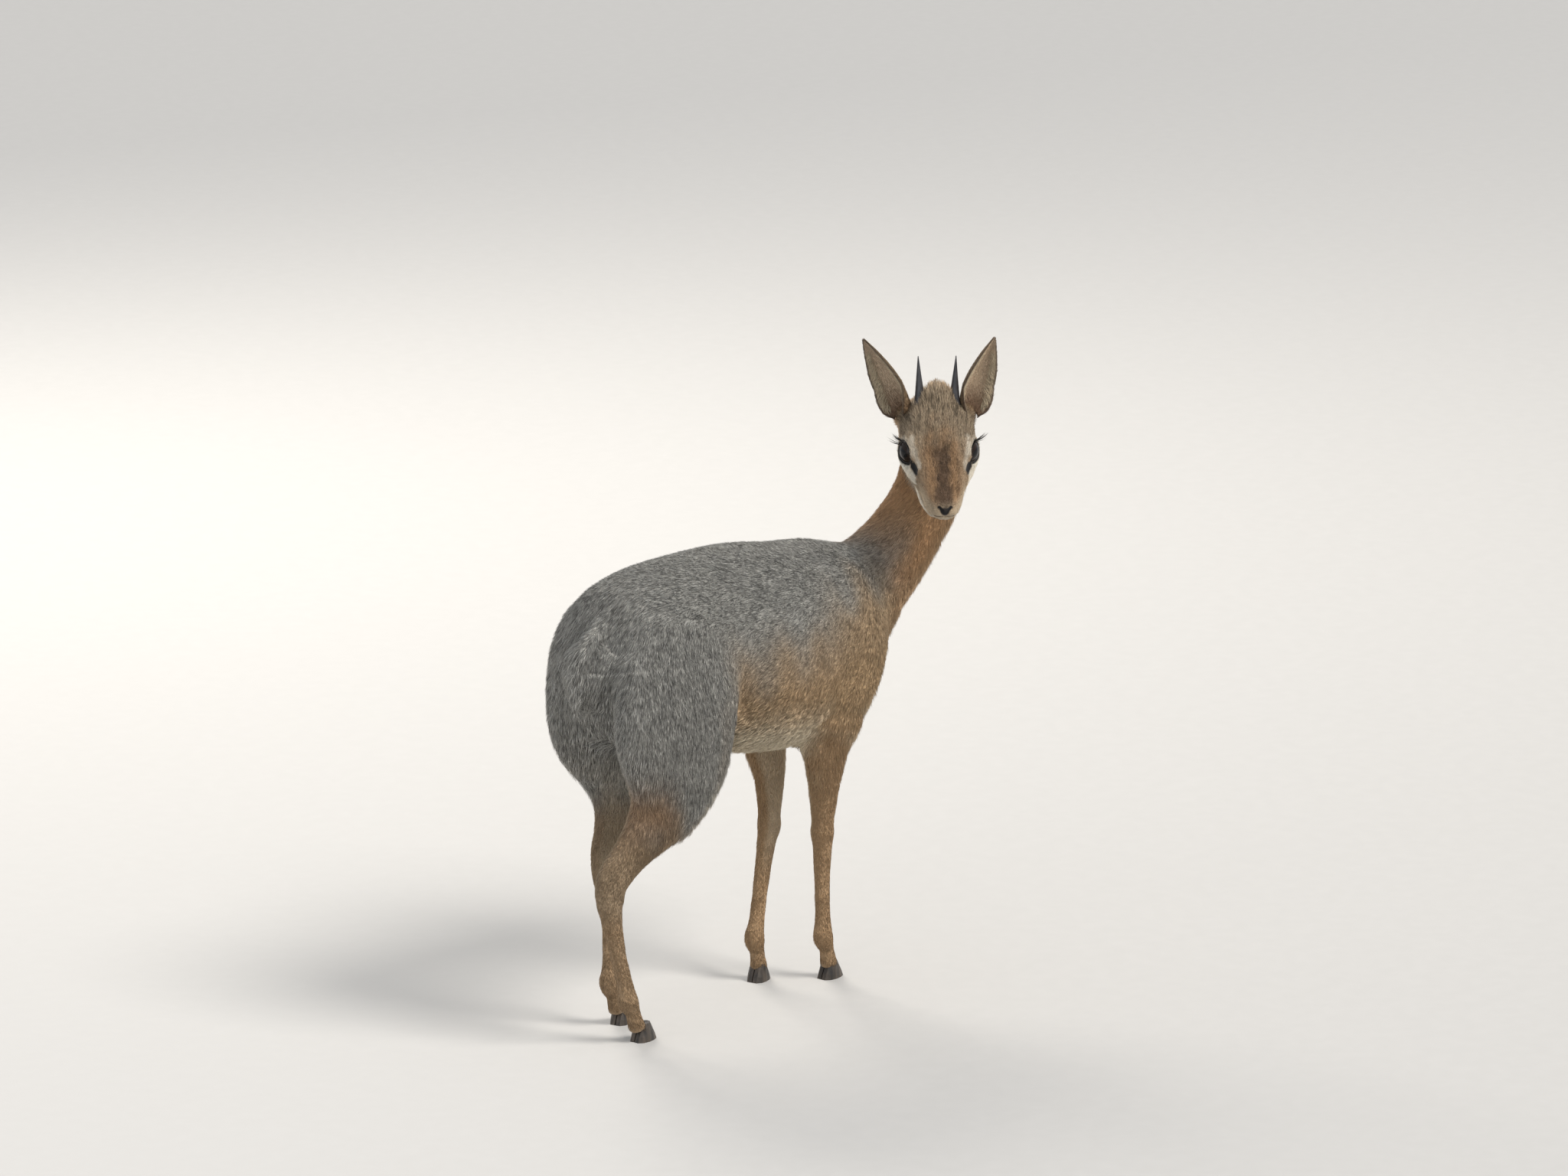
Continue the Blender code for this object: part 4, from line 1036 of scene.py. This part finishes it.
def tufts(name, root, n, lie, length, wide, lift, shades, map_at, fine, material):
    """One piece of coat: thin closed tufts, each a bent three-sided blade (or a straight one where short)."""
    count = len(root)
    side = np.cross(n, lie)
    lift = np.radians(lift)[:, None]
    length, wide = (length * CM)[:, None], (wide * CM)[:, None]
    thick = wide * 0.42
    first = lie * np.cos(lift) + n * np.sin(lift)
    over = unit(np.cross(lie, side) * 0 + n * np.cos(lift) - lie * np.sin(lift))
    base = root - n * wide * 0.2
    low, mid_c, top = shades
    spot = 0.0015
    if fine:
        last = lie * np.cos(lift * 0.25) + n * np.sin(lift * 0.25)
        mid = base + first * length * 0.5
        tip = mid + last * length * 0.5
        verts = np.stack(
            [
                base - side * wide * 0.5,
                base + side * wide * 0.5,
                base + over * thick,
                mid - side * wide * 0.42,
                mid + side * wide * 0.42,
                mid + over * thick * 0.8,
                tip,
            ],
            1,
        )
        colours = np.stack([low, low, low, mid_c, mid_c, mid_c, top], 1)
        corner = np.array([[-1, -1], [1, -1], [0, -1], [-1, 0.2], [1, 0.2], [0, 0.2], [0, 1]]) * spot
        quads = np.array([[0, 1, 4, 3], [1, 2, 5, 4], [2, 0, 3, 5]])
        tris = np.array([[0, 2, 1], [3, 4, 6], [4, 5, 6], [5, 3, 6]])
        stride = 7
    else:
        tip = base + first * length
        verts = np.stack(
            [base - side * wide * 0.5, base + side * wide * 0.5, base + over * thick, tip], 1
        )
        colours = np.stack([mid_c * 0.5 + low * 0.5] * 3 + [top], 1)
        corner = np.array([[-1, -1], [1, -1], [0, 0], [0, 1]]) * spot
        quads = None
        tris = np.array([[0, 2, 1], [0, 1, 3], [1, 2, 3], [2, 0, 3]])
        stride = 4
    offsets = (np.arange(count) * stride)[:, None, None]
    polys = [(tris[None] + offsets).reshape(-1, 3)]
    if quads is not None:
        polys.append((quads[None] + offsets).reshape(-1, 4))
    uv = (map_at[:, None, :] + corner[None]).reshape(-1, 2)
    mesh = mesh_of(name, verts.reshape(-1, 3) - SHIFT, polys, colours.reshape(-1, 3), uv)
    o = add(name, mesh, material)
    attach(o, "root")
    return o


def flecks(q):
    """A steady random number from 0 to 1 for each cell of the given places."""
    c = np.floor(q).astype(np.int64)
    mixed = (c[:, 0] * 73856093) ^ (c[:, 1] * 19349663) ^ (c[:, 2] * 83492791)
    return ((mixed * 2654435761) % 4294967296) / 4294967296.0


def grizzle(p, rng):
    """How light each tuft falls in the ticking, 0 to 1: in specks on the body, in streaks on the head."""
    spot = flecks(p / 0.0021 + 0.5 * rng.random((len(p), 3)))
    u, s, w = on_head(p).T
    streak = flecks(np.stack([u / 0.75, s / 0.13, w / 0.5], 1) + 0.4 * rng.random((len(p), 3)))
    h = headness(p)
    own = rng.random(len(p))
    return own + np.where(rng.random(len(p)) < 0.62, np.where(h > 0.5, streak, spot) - own, 0.0)


def banded(colour, band, rng, kind=None):
    """Root, middle and tip colours of tufts: grizzled where the coat is banded, nearly even elsewhere."""
    kind = rng.random(len(colour)) if kind is None else kind
    dark = step(0.40, 0.18, kind)[:, None]
    light = step(0.60, 0.85, kind)[:, None]
    even = colour * np.exp(rng.normal(0, 0.10, (len(colour), 1)))
    b = band[:, None]
    tip = even * np.exp(b * (0.40 * light - 1.35 * dark)) + 0.03 * b * light
    mid = even * np.exp(b * (0.28 * light - 0.75 * dark)) + 0.02 * b * light
    low = even * (1 - 0.30 * b) * 0.92
    return np.clip(low, 0, 1), np.clip(mid, 0, 1), np.clip(tip, 0, 1)


def stretched(share, angle):
    """The roots' places on the unwrap, spread over the map's square."""
    out = np.stack([share, angle], 1)
    low, high = out.min(0), out.max(0)
    return 0.01 + 0.98 * (out - low) / np.maximum(high - low, 1e-6)


# ---- materials -------------------------------------------------------------------------------
def hairy(name, rough, grain, bump, sheen=0.0):
    """Coat or skin: the painted markings, broken up by fine noise."""
    m = bpy.data.materials.new(name)
    m.use_nodes = True
    nodes, links = m.node_tree.nodes, m.node_tree.links
    shader = nodes["Principled BSDF"]
    paint = nodes.new("ShaderNodeAttribute")
    paint.attribute_name = "Coat"
    where = nodes.new("ShaderNodeTexCoord")
    noise = nodes.new("ShaderNodeTexNoise")
    noise.inputs["Scale"].default_value = grain
    noise.inputs["Detail"].default_value = 3
    ramp = nodes.new("ShaderNodeMapRange")
    ramp.inputs["To Min"].default_value, ramp.inputs["To Max"].default_value = 0.72, 1.28
    mix = nodes.new("ShaderNodeMix")
    mix.data_type, mix.blend_type = "RGBA", "MULTIPLY"
    mix.inputs["Factor"].default_value = 1.0
    links.new(where.outputs["Object"], noise.inputs["Vector"])
    links.new(noise.outputs["Fac"], ramp.inputs["Value"])
    links.new(paint.outputs["Color"], mix.inputs["A"])
    links.new(ramp.outputs["Result"], mix.inputs["B"])
    links.new(mix.outputs["Result"], shader.inputs["Base Color"])
    wide = nodes.new("ShaderNodeMapRange")
    wide.inputs["To Min"].default_value, wide.inputs["To Max"].default_value = rough - 0.12, rough + 0.12
    links.new(noise.outputs["Fac"], wide.inputs["Value"])
    links.new(wide.outputs["Result"], shader.inputs["Roughness"])
    shader.inputs["Specular IOR Level"].default_value = 0.28
    if sheen:
        shader.inputs["Sheen Weight"].default_value = sheen
        shader.inputs["Sheen Roughness"].default_value = 0.5
    if bump:
        b = nodes.new("ShaderNodeBump")
        b.inputs["Strength"].default_value, b.inputs["Distance"].default_value = 0.6, bump
        links.new(noise.outputs["Fac"], b.inputs["Height"])
        links.new(b.outputs["Normal"], shader.inputs["Normal"])
    return m


def horny(name, dark, light, rough, scale, bump, stretch=(1, 1, 1), coat=0.0):
    """Horn or hoof: two tones streaked through one another, with a fine bump."""
    m = bpy.data.materials.new(name)
    m.use_nodes = True
    nodes, links = m.node_tree.nodes, m.node_tree.links
    shader = nodes["Principled BSDF"]
    where = nodes.new("ShaderNodeTexCoord")
    fit = nodes.new("ShaderNodeMapping")
    fit.inputs["Scale"].default_value = stretch
    noise = nodes.new("ShaderNodeTexNoise")
    noise.inputs["Scale"].default_value, noise.inputs["Detail"].default_value = scale, 6
    ramp = nodes.new("ShaderNodeValToRGB")
    ramp.color_ramp.elements[0].color, ramp.color_ramp.elements[1].color = (*dark, 1), (*light, 1)
    ramp.color_ramp.elements[0].position, ramp.color_ramp.elements[1].position = 0.35, 0.72
    links.new(where.outputs["Object"], fit.inputs["Vector"])
    links.new(fit.outputs["Vector"], noise.inputs["Vector"])
    links.new(noise.outputs["Fac"], ramp.inputs["Fac"])
    links.new(ramp.outputs["Color"], shader.inputs["Base Color"])
    wide = nodes.new("ShaderNodeMapRange")
    wide.inputs["To Min"].default_value, wide.inputs["To Max"].default_value = rough - 0.1, rough + 0.1
    links.new(noise.outputs["Fac"], wide.inputs["Value"])
    links.new(wide.outputs["Result"], shader.inputs["Roughness"])
    b = nodes.new("ShaderNodeBump")
    b.inputs["Strength"].default_value, b.inputs["Distance"].default_value = 0.5, bump
    links.new(noise.outputs["Fac"], b.inputs["Height"])
    links.new(b.outputs["Normal"], shader.inputs["Normal"])
    if coat:
        shader.inputs["Coat Weight"].default_value = coat
        shader.inputs["Coat Roughness"].default_value = 0.08
    return m


# ---- build -----------------------------------------------------------------------------------
SHIFT = np.array([*ORIGIN, 0.0]) * CM
rng = np.random.default_rng(41)

TRUNK, NECK, TAIL, SKULL, JAW = SHAPES[0], SHAPES[1], SHAPES[2], HEAD_SHAPES[0], HEAD_SHAPES[1]
SHOULDERS, FRONTS, HINDS = [SHAPES[3], SHAPES[6]], [SHAPES[4], SHAPES[7]], [SHAPES[5], SHAPES[8]]
LIES = [(TRUNK, -1, 1.0), (NECK, -1, 1.0), (TAIL, 1, 1.5), (SKULL, -1, 1.0), (JAW, -1, 1.0)]
LIES += [(loft, 1, 0.5) for loft in SHOULDERS] + [(loft, 1, 1.0) for loft in FRONTS + HINDS]

skin_look = hairy("skin_look", 0.75, 900, 0.0006, 0.15)
coat_look = hairy("coat_look", 0.62, 1500, 0.0)

body = skin_mesh()
root, facing = scattered(body, rng)
keep = ~bare(root)
# no hair near the ground cut: roots below 1.4 cm go
keep &= root[:, 2] > 0.0140
root, facing = root[keep], facing[keep]

p, n = points(body), vertex_normals(body)
skin_colour, skin_band = markings(p, n)
# painted shade: the skin under the coat is made darker, more so where the hairs are banded, to match the shade that
# falls between and under the tufts
skin_colour = skin_colour * (0.80 - 0.12 * skin_band[:, None])
put_points(body, p - SHIFT)
body.name = "skin"
paint_mesh(body, skin_colour)
body.shade_smooth()
skin_piece = add("skin", body, skin_look)
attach(skin_piece, "root")
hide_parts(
    "trunk", "neck", "head", "tail", *["leg_" + a + "_" + b for a in ("front", "hind") for b in ("right", "left")]
)

# each root goes to the limb whose tube it is nearest to
LIMBS = [("trunk", TRUNK), ("neck", NECK), ("tail", TAIL), ("head", SKULL)]
LIMBS += [("leg_front_right", FRONTS[0]), ("leg_front_left", FRONTS[1])]
LIMBS += [("leg_hind_right", HINDS[0]), ("leg_hind_left", HINDS[1])]
far = np.stack([loft.field(root) for _, loft in LIMBS], 1)
far[:, 3] = np.where(headness(root) > 0.4, -1.0, 1.0)
owner = far.argmin(1)

lie = hair_lie(root, facing)
length, wide, lift, _ = hair_form(root, facing)
colour, band = markings(root, facing)
length = length * rng.uniform(0.75, 1.2, len(root)) * (1 + 0.12 * waves(root, 0.02, 5))
wide = wide * rng.uniform(0.75, 1.25, len(root))
lift = lift * rng.uniform(0.6, 1.35, len(root)) + 3 * waves(root, 0.012, 8)
turn = rng.normal(0, 0.11, len(root))[:, None]
lie = unit(lie * np.cos(turn) + np.cross(facing, lie) * np.sin(turn))
shades = banded(colour, band, rng, grizzle(root, rng))

total = 0
for k, (name, loft) in enumerate(LIMBS):
    for fine in (True, False):
        mine = np.flatnonzero((owner == k) & ((length >= 0.93) == fine))
        if len(mine) < 50:
            continue
        share, angle, _ = placed(loft, root[mine])
        order = np.argsort(share)
        most = 19500 if fine else 48000
        for i, part in enumerate(np.array_split(order, max(1, math.ceil(len(mine) / most)))):
            at = mine[part]
            tufts(
                f"coat_{name}_{'long' if fine else 'short'}_{i + 1}",
                root[at], facing[at], lie[at], length[at], wide[at], lift[at],
                [s[at] for s in shades],
                stretched(share[part], angle[part]),
                fine,
                coat_look,
            )
            total += len(at) * (10 if fine else 4)
print("COAT", total, "EARS", 2 * (11700 * 4 + 700 * 10), "SKIN", len(triangles_of(body)))


# ---- eyes, lids and lashes -------------------------------------------------------------------
def eye_piece(side):
    """The eyeball with a slight bulge of the cornea, painted dark brown round a long dark pupil."""
    at, out = EYE_AT[side] * CM, EYE_LOOKS[side]
    level = unit(np.cross(out, HEAD_UP))
    high = np.cross(level, out)
    r = EYE_RADIUS * CM
    rows, cols = 48, 64
    verts = [at + out * r * 1.045]
    angles = []
    for i in range(1, rows):
        t = math.pi * i / rows
        bulge = 1 + 0.045 * math.exp(-((t / 0.5) ** 2))
        for j in range(cols):
            f = 2 * math.pi * j / cols
            d = out * math.cos(t) + (level * math.cos(f) + high * math.sin(f)) * math.sin(t)
            verts.append(at + d * r * bulge)
    verts.append(at - out * r)
    verts = np.array(verts)
    ring = lambda i: 1 + (i - 1) * cols
    tris, quads = [], []
    for j in range(cols):
        k = (j + 1) % cols
        tris.append([0, ring(1) + j, ring(1) + k])
        tris.append([len(verts) - 1, ring(rows - 1) + k, ring(rows - 1) + j])
        for i in range(1, rows - 1):
            quads.append([ring(i) + j, ring(i + 1) + j, ring(i + 1) + k, ring(i) + k])
    d = unit(verts - at)
    wide_of, high_of, front = d @ level, d @ high, d @ out
    pupil = step(1.15, 0.85, np.sqrt((wide_of / 0.42) ** 2 + (high_of / 0.27) ** 2)) * (front > 0)
    iris = step(0.80, 0.72, np.sqrt(wide_of**2 + high_of**2)) * (front > 0)
    spokes = 0.8 + 0.2 * np.sin(np.arctan2(high_of, wide_of) * 37)
    colour = np.tile(rgb(16, 11, 9), (len(verts), 1))
    colour = colour + (rgb(40, 25, 15)[None] * spokes[:, None] - colour) * iris[:, None]
    colour = colour + (rgb(7, 6, 8) - colour) * pupil[:, None]
    mesh = mesh_of("eyeball_" + side, verts - SHIFT, [np.array(tris), np.array(quads)], colour)
    o = add("eyeball_" + side, mesh, eye_look)
    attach(o, "root")
    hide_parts("eye_" + side)
    return o


eye_look = hairy("eye_look", 0.17, 600, 0.0)
_s = eye_look.node_tree.nodes["Principled BSDF"]
_s.inputs["Specular IOR Level"].default_value = 0.28
rim_look = horny("lid_look", (0.012, 0.01, 0.009), (0.035, 0.028, 0.024), 0.4, 900, 0.0001, coat=0.3)
lash_look = horny("lash_look", (0.012, 0.01, 0.009), (0.03, 0.024, 0.02), 0.5, 1500, 0.0)


def lid_line(opening, count=72, radius=None):
    """The lids' edge as a closed ring of points round the eye."""
    r = (EYE_RADIUS + 0.05) * CM if radius is None else radius
    out = []
    for j in range(count):
        a = 2 * math.pi * j / count
        c, s = math.cos(a), math.sin(a)
        ca = math.copysign(abs(c) ** (2 / 1.7), c) * opening.spread[0]
        sa = math.copysign(abs(s) ** (2 / 1.7), s) * opening.spread[1]
        out.append(opening.at + r * unit(opening.out + opening.long * ca + opening.high * sa))
    return np.array(out)


def lid_piece(side, opening):
    """The dark, slightly wet edge of the lids: a thin rounded band round the opening."""
    line = lid_line(opening)
    middle = line.mean(0)
    run = unit(np.roll(line, -1, 0) - np.roll(line, 1, 0))
    out = unit(line - opening.at)
    across = np.cross(run, out)
    verts, sides = [], 8
    up_is = opening.high if opening.high @ HEAD_UP > 0 else -opening.high
    for j in range(len(line)):
        upper = 0.5 + 0.5 * float(unit(line[j] - middle) @ up_is)
        fat = (0.042 + 0.03 * upper) * CM
        for i in range(sides):
            a = 2 * math.pi * i / sides
            verts.append(line[j] + across[j] * math.cos(a) * fat * 1.25 + out[j] * math.sin(a) * fat * 0.7)
    quads = []
    for j in range(len(line)):
        k = (j + 1) % len(line)
        for i in range(sides):
            h = (i + 1) % sides
            quads.append([j * sides + i, k * sides + i, k * sides + h, j * sides + h])
    verts = np.array(verts)
    mesh = mesh_of("lid_edge_" + side, verts - SHIFT, [np.array(quads)], np.tile(INK, (len(verts), 1)))
    o = add("lid_edge_" + side, mesh, rim_look)
    bm = bmesh.new()
    bm.from_mesh(mesh)
    bmesh.ops.recalc_face_normals(bm, faces=bm.faces)
    bm.to_mesh(mesh)
    bm.free()
    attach(o, "root")
    return o


def lashes(side, opening):
    """Dark lashes along the upper lid, longest towards its outer corner."""
    r = np.random.default_rng(5 if side == "right" else 6)
    line = lid_line(opening, 160, (EYE_RADIUS + 0.1) * CM)
    up_is = opening.high if opening.high @ HEAD_UP > 0 else -opening.high
    back_is = opening.long if opening.long @ HEAD_FORWARD < 0 else -opening.long
    middle = line.mean(0)
    verts, tris = [], []
    for q in line:
        d = unit(q - middle)
        high, back = float(d @ up_is), float(d @ back_is)
        chance = max(0.0, min(1.0, 0.75 * high + 0.35 * back))
        if high < 0.02 and back < 0.9:
            continue
        if r.random() > chance + 0.1:
            continue
        size = (0.42 + 0.72 * max(back, 0.0) ** 1.5) * r.uniform(0.75, 1.15) * CM
        first = unit(opening.out * 0.9 + d * 0.7 - up_is * 0.12 + r.normal(0, 0.07, 3))
        last = unit(first + d * 0.25 + back_is * 0.35 - up_is * 0.12)
        side_way = unit(np.cross(first, opening.out + 0.3 * d))
        other = np.cross(first, side_way)
        start = len(verts)
        for share, fat in ((0.0, 0.022), (0.5, 0.016)):
            at = q + first * size * share
            for i in range(3):
                a = 2 * math.pi * i / 3
                verts.append(at + (side_way * math.cos(a) + other * math.sin(a)) * fat * CM)
        verts.append(q + first * size * 0.5 + last * size * 0.5)
        for i in range(3):
            k = (i + 1) % 3
            tris += [[start + i, start + k, start + 3 + k], [start + i, start + 3 + k, start + 3 + i]]
            tris.append([start + 3 + i, start + 3 + k, start + 6])
        tris.append([start + 2, start + 1, start])
    verts = np.array(verts)
    mesh = mesh_of("lashes_" + side, verts - SHIFT, [np.array(tris)], np.tile(INK, (len(verts), 1)))
    o = add("lashes_" + side, mesh, lash_look)
    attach(o, "root")
    return o


for side, opening in zip(("right", "left"), OPENINGS):
    eye_piece(side)
    lid_piece(side, opening)
    lashes(side, opening)


# ---- ears ------------------------------------------------------------------------------------
def ear_surface(side, t, v):
    """Points and outward (back side) normals of the ear's middle surface."""
    e = 1e-3
    p = ear_point(side, t, v)
    dt = ear_point(side, np.minimum(t + e, 1.0), v) - ear_point(side, t - e, v)
    dv = ear_point(side, t, v + e) - ear_point(side, t, v - e)
    n = unit(np.cross(dv, dt))
    _, front, _ = ear_frame(side)
    mid = ear_point(side, np.clip(t, 0.3, 0.9), np.zeros(len(t)))
    m = unit(np.cross(ear_point(side, np.clip(t, 0.3, 0.9), np.full(len(t), e)) - mid,
                      ear_point(side, np.clip(t, 0.3, 0.9) + e, np.zeros(len(t))) - mid))
    flip = np.sign(-(m @ front))
    return p, n * flip[:, None], unit(dt)


EAR_BACK, EAR_IN, EAR_RIM = rgb(132, 112, 88), rgb(198, 176, 150), rgb(52, 42, 36)


def ear_colour(t, v, inside):
    rim = np.maximum(step(0.86, 0.99, np.abs(v)), step(0.93, 0.99, t))
    c = np.tile(EAR_IN if inside else EAR_BACK, (len(t), 1))
    if inside:
        # painted shade: the inside darkens to brown towards the root, where the hollow lies in shade
        root_shade = step(0.42, 0.0, t)
        c = c + (rgb(112, 80, 58) - c) * (0.75 * root_shade)[:, None]
        shade = step(0.5, 0.85, np.abs(v)) * step(0.95, 0.5, t)
        c = c + (rgb(222, 204, 174) - c) * (0.45 * shade * step(0.1, 0.4, t))[:, None]
    else:
        c = c + (rgb(158, 124, 88) - c) * (0.6 * step(0.35, 0.0, t))[:, None]
    return c + (EAR_RIM - c) * (rim * (0.8 if inside else 0.65))[:, None]


def ear_piece(side):
    tall, broad = 46, 34
    t, v = np.meshgrid(np.linspace(0, 0.992, tall), np.linspace(-1, 1, broad), indexing="ij")
    t, v = t.ravel(), v.ravel()
    p, n, _ = ear_surface(side, t, v)
    thick = (0.035 + 0.05 * step(1.0, 0.6, np.abs(v)) * step(1.0, 0.7, t))[:, None]
    verts = np.vstack([p + n * thick, p - n * thick]) * CM
    colours = np.vstack([ear_colour(t, v, False), ear_colour(t, v, True)])
    quads = []
    size = tall * broad
    for i in range(tall - 1):
        for j in range(broad - 1):
            a, b, c, d = i * broad + j, i * broad + j + 1, (i + 1) * broad + j + 1, (i + 1) * broad + j
            quads += [[a, b, c, d], [a + size, d + size, c + size, b + size]]
    edge = [j for j in range(broad)] + [i * broad + broad - 1 for i in range(1, tall)]
    edge += [(tall - 1) * broad + j for j in range(broad - 2, -1, -1)] + [i * broad for i in range(tall - 2, 0, -1)]
    for a, b in zip(edge, edge[1:] + edge[:1]):
        quads.append([b, a, a + size, b + size])
    mesh = mesh_of("ear_shell_" + side, verts - SHIFT, [np.array(quads)], colours)
    bm = bmesh.new()
    bm.from_mesh(mesh)
    bmesh.ops.recalc_face_normals(bm, faces=bm.faces)
    bm.to_mesh(mesh)
    bm.free()
    o = add("ear_shell_" + side, mesh, skin_look)
    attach(o, "root")
    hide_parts("ear_" + side)

    # short hair outside and inside, long pale hair from the front edges over the hollow
    r = np.random.default_rng(21 if side == "right" else 22)
    for part, count in (("back", 6500), ("inner", 5200), ("fringe", 700)):
        t = r.random(count) ** 0.85 * 0.97
        v = r.uniform(-0.99, 0.99, count)
        if part == "fringe":
            v = np.sign(r.normal(size=count)) * r.uniform(0.72, 0.97, count)
            t = r.random(count) ** 1.1 * 0.72 + 0.05
        p, n, up = ear_surface(side, t, v)
        sign = 1.0 if part == "back" else -1.0
        thick = (0.035 + 0.05 * step(1.0, 0.6, np.abs(v)) * step(1.0, 0.7, t))[:, None]
        base, n = (p + n * thick * sign) * CM, n * sign
        p2, _, _ = ear_surface(side, t, v * 0.8)
        inward = unit(p2 - p)
        lie = up if part != "fringe" else unit(up * 0.75 + inward * 0.65)
        lie = unit(lie - (lie * n).sum(1, keepdims=True) * n)
        turn = r.normal(0, 0.12, count)[:, None]
        lie = unit(lie * np.cos(turn) + np.cross(n, lie) * np.sin(turn))
        colour = ear_colour(t, v, part != "back")
        if part == "fringe":
            colour = np.tile(rgb(214, 197, 168), (count, 1)) * r.uniform(0.8, 1.05, (count, 1))
        size = {"back": 0.42, "inner": 0.34, "fringe": 0.95}[part] * r.uniform(0.75, 1.2, count)
        size = size * (1 - 0.45 * t)
        fat = {"back": 0.045, "inner": 0.036, "fringe": 0.034}[part] * r.uniform(0.8, 1.2, count)
        rise = {"back": 12.0, "inner": 10.0, "fringe": 26.0}[part] * r.uniform(0.6, 1.3, count)
        band = np.full(count, {"back": 0.55, "inner": 0.15, "fringe": 0.1}[part])
        tufts(
            f"coat_ear_{part}_{side}", base, n, lie, size, fat, rise,
            banded(colour, band, r), stretched(t, v * 0.5 + 0.5), part == "fringe", coat_look,
        )


for side in ("right", "left"):
    ear_piece(side)


# ---- horns -----------------------------------------------------------------------------------
horn_look = horny("horn_look", (0.018, 0.018, 0.021), (0.075, 0.072, 0.075), 0.42, 260, 0.00015, (1, 1, 0.25))


def horn_piece(side):
    """A straight spike with the low rings and lengthwise grain of real horn."""
    s = -1 if side == "right" else 1
    root_at, tip = head(-2.5, s * 1.38, 1.5), head(-5.2, s * 1.58, 5.9)
    along = unit(tip - root_at)
    size = np.linalg.norm(tip - root_at)
    forward = unit(HEAD_FORWARD - (HEAD_FORWARD @ along) * along)
    left = np.cross(along, forward)
    rows, sides = 90, 36
    verts = []
    for i in range(rows):
        t = i / (rows - 1)
        r = HORN_RADIUS * (1 - t) + 0.035 + 0.10 * math.exp(-((t / 0.2) ** 2))
        fade = max(0.0, 1 - t * 1.7)
        r *= 1 + 0.075 * fade * (abs(math.sin(t * 34)) ** 0.6 - 0.5)
        bow = 0.10 * math.sin(t * math.pi)
        for j in range(sides):
            a = 2 * math.pi * j / sides
            g = 1 + 0.02 * math.sin(a * 9 + t * 4) * (1 - t)
            verts.append(
                root_at + along * size * t - forward * bow + (forward * 1.1 * math.cos(a) + left * math.sin(a)) * r * g
            )
    verts.append(tip + along * 0.03)
    verts.append(root_at)
    quads, tris = [], []
    for i in range(rows - 1):
        for j in range(sides):
            k = (j + 1) % sides
            quads.append([i * sides + j, i * sides + k, (i + 1) * sides + k, (i + 1) * sides + j])
    for j in range(sides):
        k = (j + 1) % sides
        tris.append([(rows - 1) * sides + j, (rows - 1) * sides + k, rows * sides])
        tris.append([k, j, rows * sides + 1])
    verts = np.array(verts) * CM
    mesh = mesh_of("horn_spike_" + side, verts - SHIFT, [np.array(tris), np.array(quads)], np.tile(INK, (len(verts), 1)))
    o = add("horn_spike_" + side, mesh, horn_look)
    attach(o, "root")
    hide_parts("horn_" + side)


for side in ("right", "left"):
    horn_piece(side)

# ---- hooves keep their solids and get the look of worn horn ----------------------------------
hoof_look = horny("hoof_look", (0.02, 0.017, 0.015), (0.11, 0.085, 0.065), 0.5, 180, 0.0002, (1, 1, 0.2))
for name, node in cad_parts.items():
    if name.startswith("hoof"):
        node.data.materials.clear()
        node.data.materials.append(hoof_look)

# ---- floor, light and camera -----------------------------------------------------------------
floor_look = horny("floor_look", (0.525, 0.515, 0.50), (0.54, 0.53, 0.515), 0.8, 60.0, 0.0001)
floor = add("floor", mesh_from("floor", lambda bm: bmesh.ops.create_grid(bm, x_segments=2, y_segments=2, size=8.0)), floor_look)


def soft_light(name, place, target, size, power, colour):
    data = bpy.data.lights.new(name, "AREA")
    data.energy, data.size, data.color = power, size, colour
    o = bpy.data.objects.new(name, data)
    bpy.context.scene.collection.objects.link(o)
    o.location = place
    o.rotation_euler = (Vector(target) - Vector(place)).to_track_quat("-Z", "Y").to_euler()


middle = (0.02, 0.0, 0.28)
soft_light("fill", (-2.8, -0.4, 1.3), middle, 2.2, 16, (0.9, 0.94, 1.0))
soft_light("back", (1.2, 2.4, 2.2), middle, 1.4, 60, (1.0, 0.95, 0.87))
key_data = bpy.data.lights.new("key", "SUN")
key_data.energy, key_data.angle, key_data.color = 2.7, math.radians(24), (1.0, 0.96, 0.9)
key = bpy.data.objects.new("key", key_data)
bpy.context.scene.collection.objects.link(key)
key.rotation_euler = Vector((-0.15, 0.95, -1.0)).to_track_quat("-Z", "Y").to_euler()

world = bpy.data.worlds.new("studio")
bpy.context.scene.world = world
world.use_nodes = True
world.node_tree.nodes["Background"].inputs["Color"].default_value = (0.86, 0.89, 0.93, 1)
world.node_tree.nodes["Background"].inputs["Strength"].default_value = 0.62

theta, elev, distance, pixels = math.radians(52), math.radians(12.5), 7.0, 11130.0
right = np.array([math.cos(theta), -math.sin(theta), 0.0])
away = np.array([math.sin(theta), math.cos(theta), 0.0])
look = math.cos(elev) * away - math.sin(elev) * np.array([0, 0, 1.0])
above = math.sin(elev) * away + math.cos(elev) * np.array([0, 0, 1.0])
aim = np.array([0.0, 0.0, 0.25]) - SHIFT
eye_at = aim - look * distance - right * ((932 - 1024) / pixels * distance) + above * ((927 - 768) / pixels * distance)
camera_data = bpy.data.cameras.new("camera")
camera_data.sensor_width, camera_data.lens = 36.0, pixels * 36.0 / 2048
camera_data.clip_end = 50
camera = bpy.data.objects.new("camera", camera_data)
bpy.context.scene.collection.objects.link(camera)
turned = Matrix([[right[i], above[i], -look[i], eye_at[i]] for i in range(3)] + [[0, 0, 0, 1]])
camera.matrix_world = turned
bpy.context.scene.camera = camera
bpy.context.scene.view_settings.view_transform = "Standard"
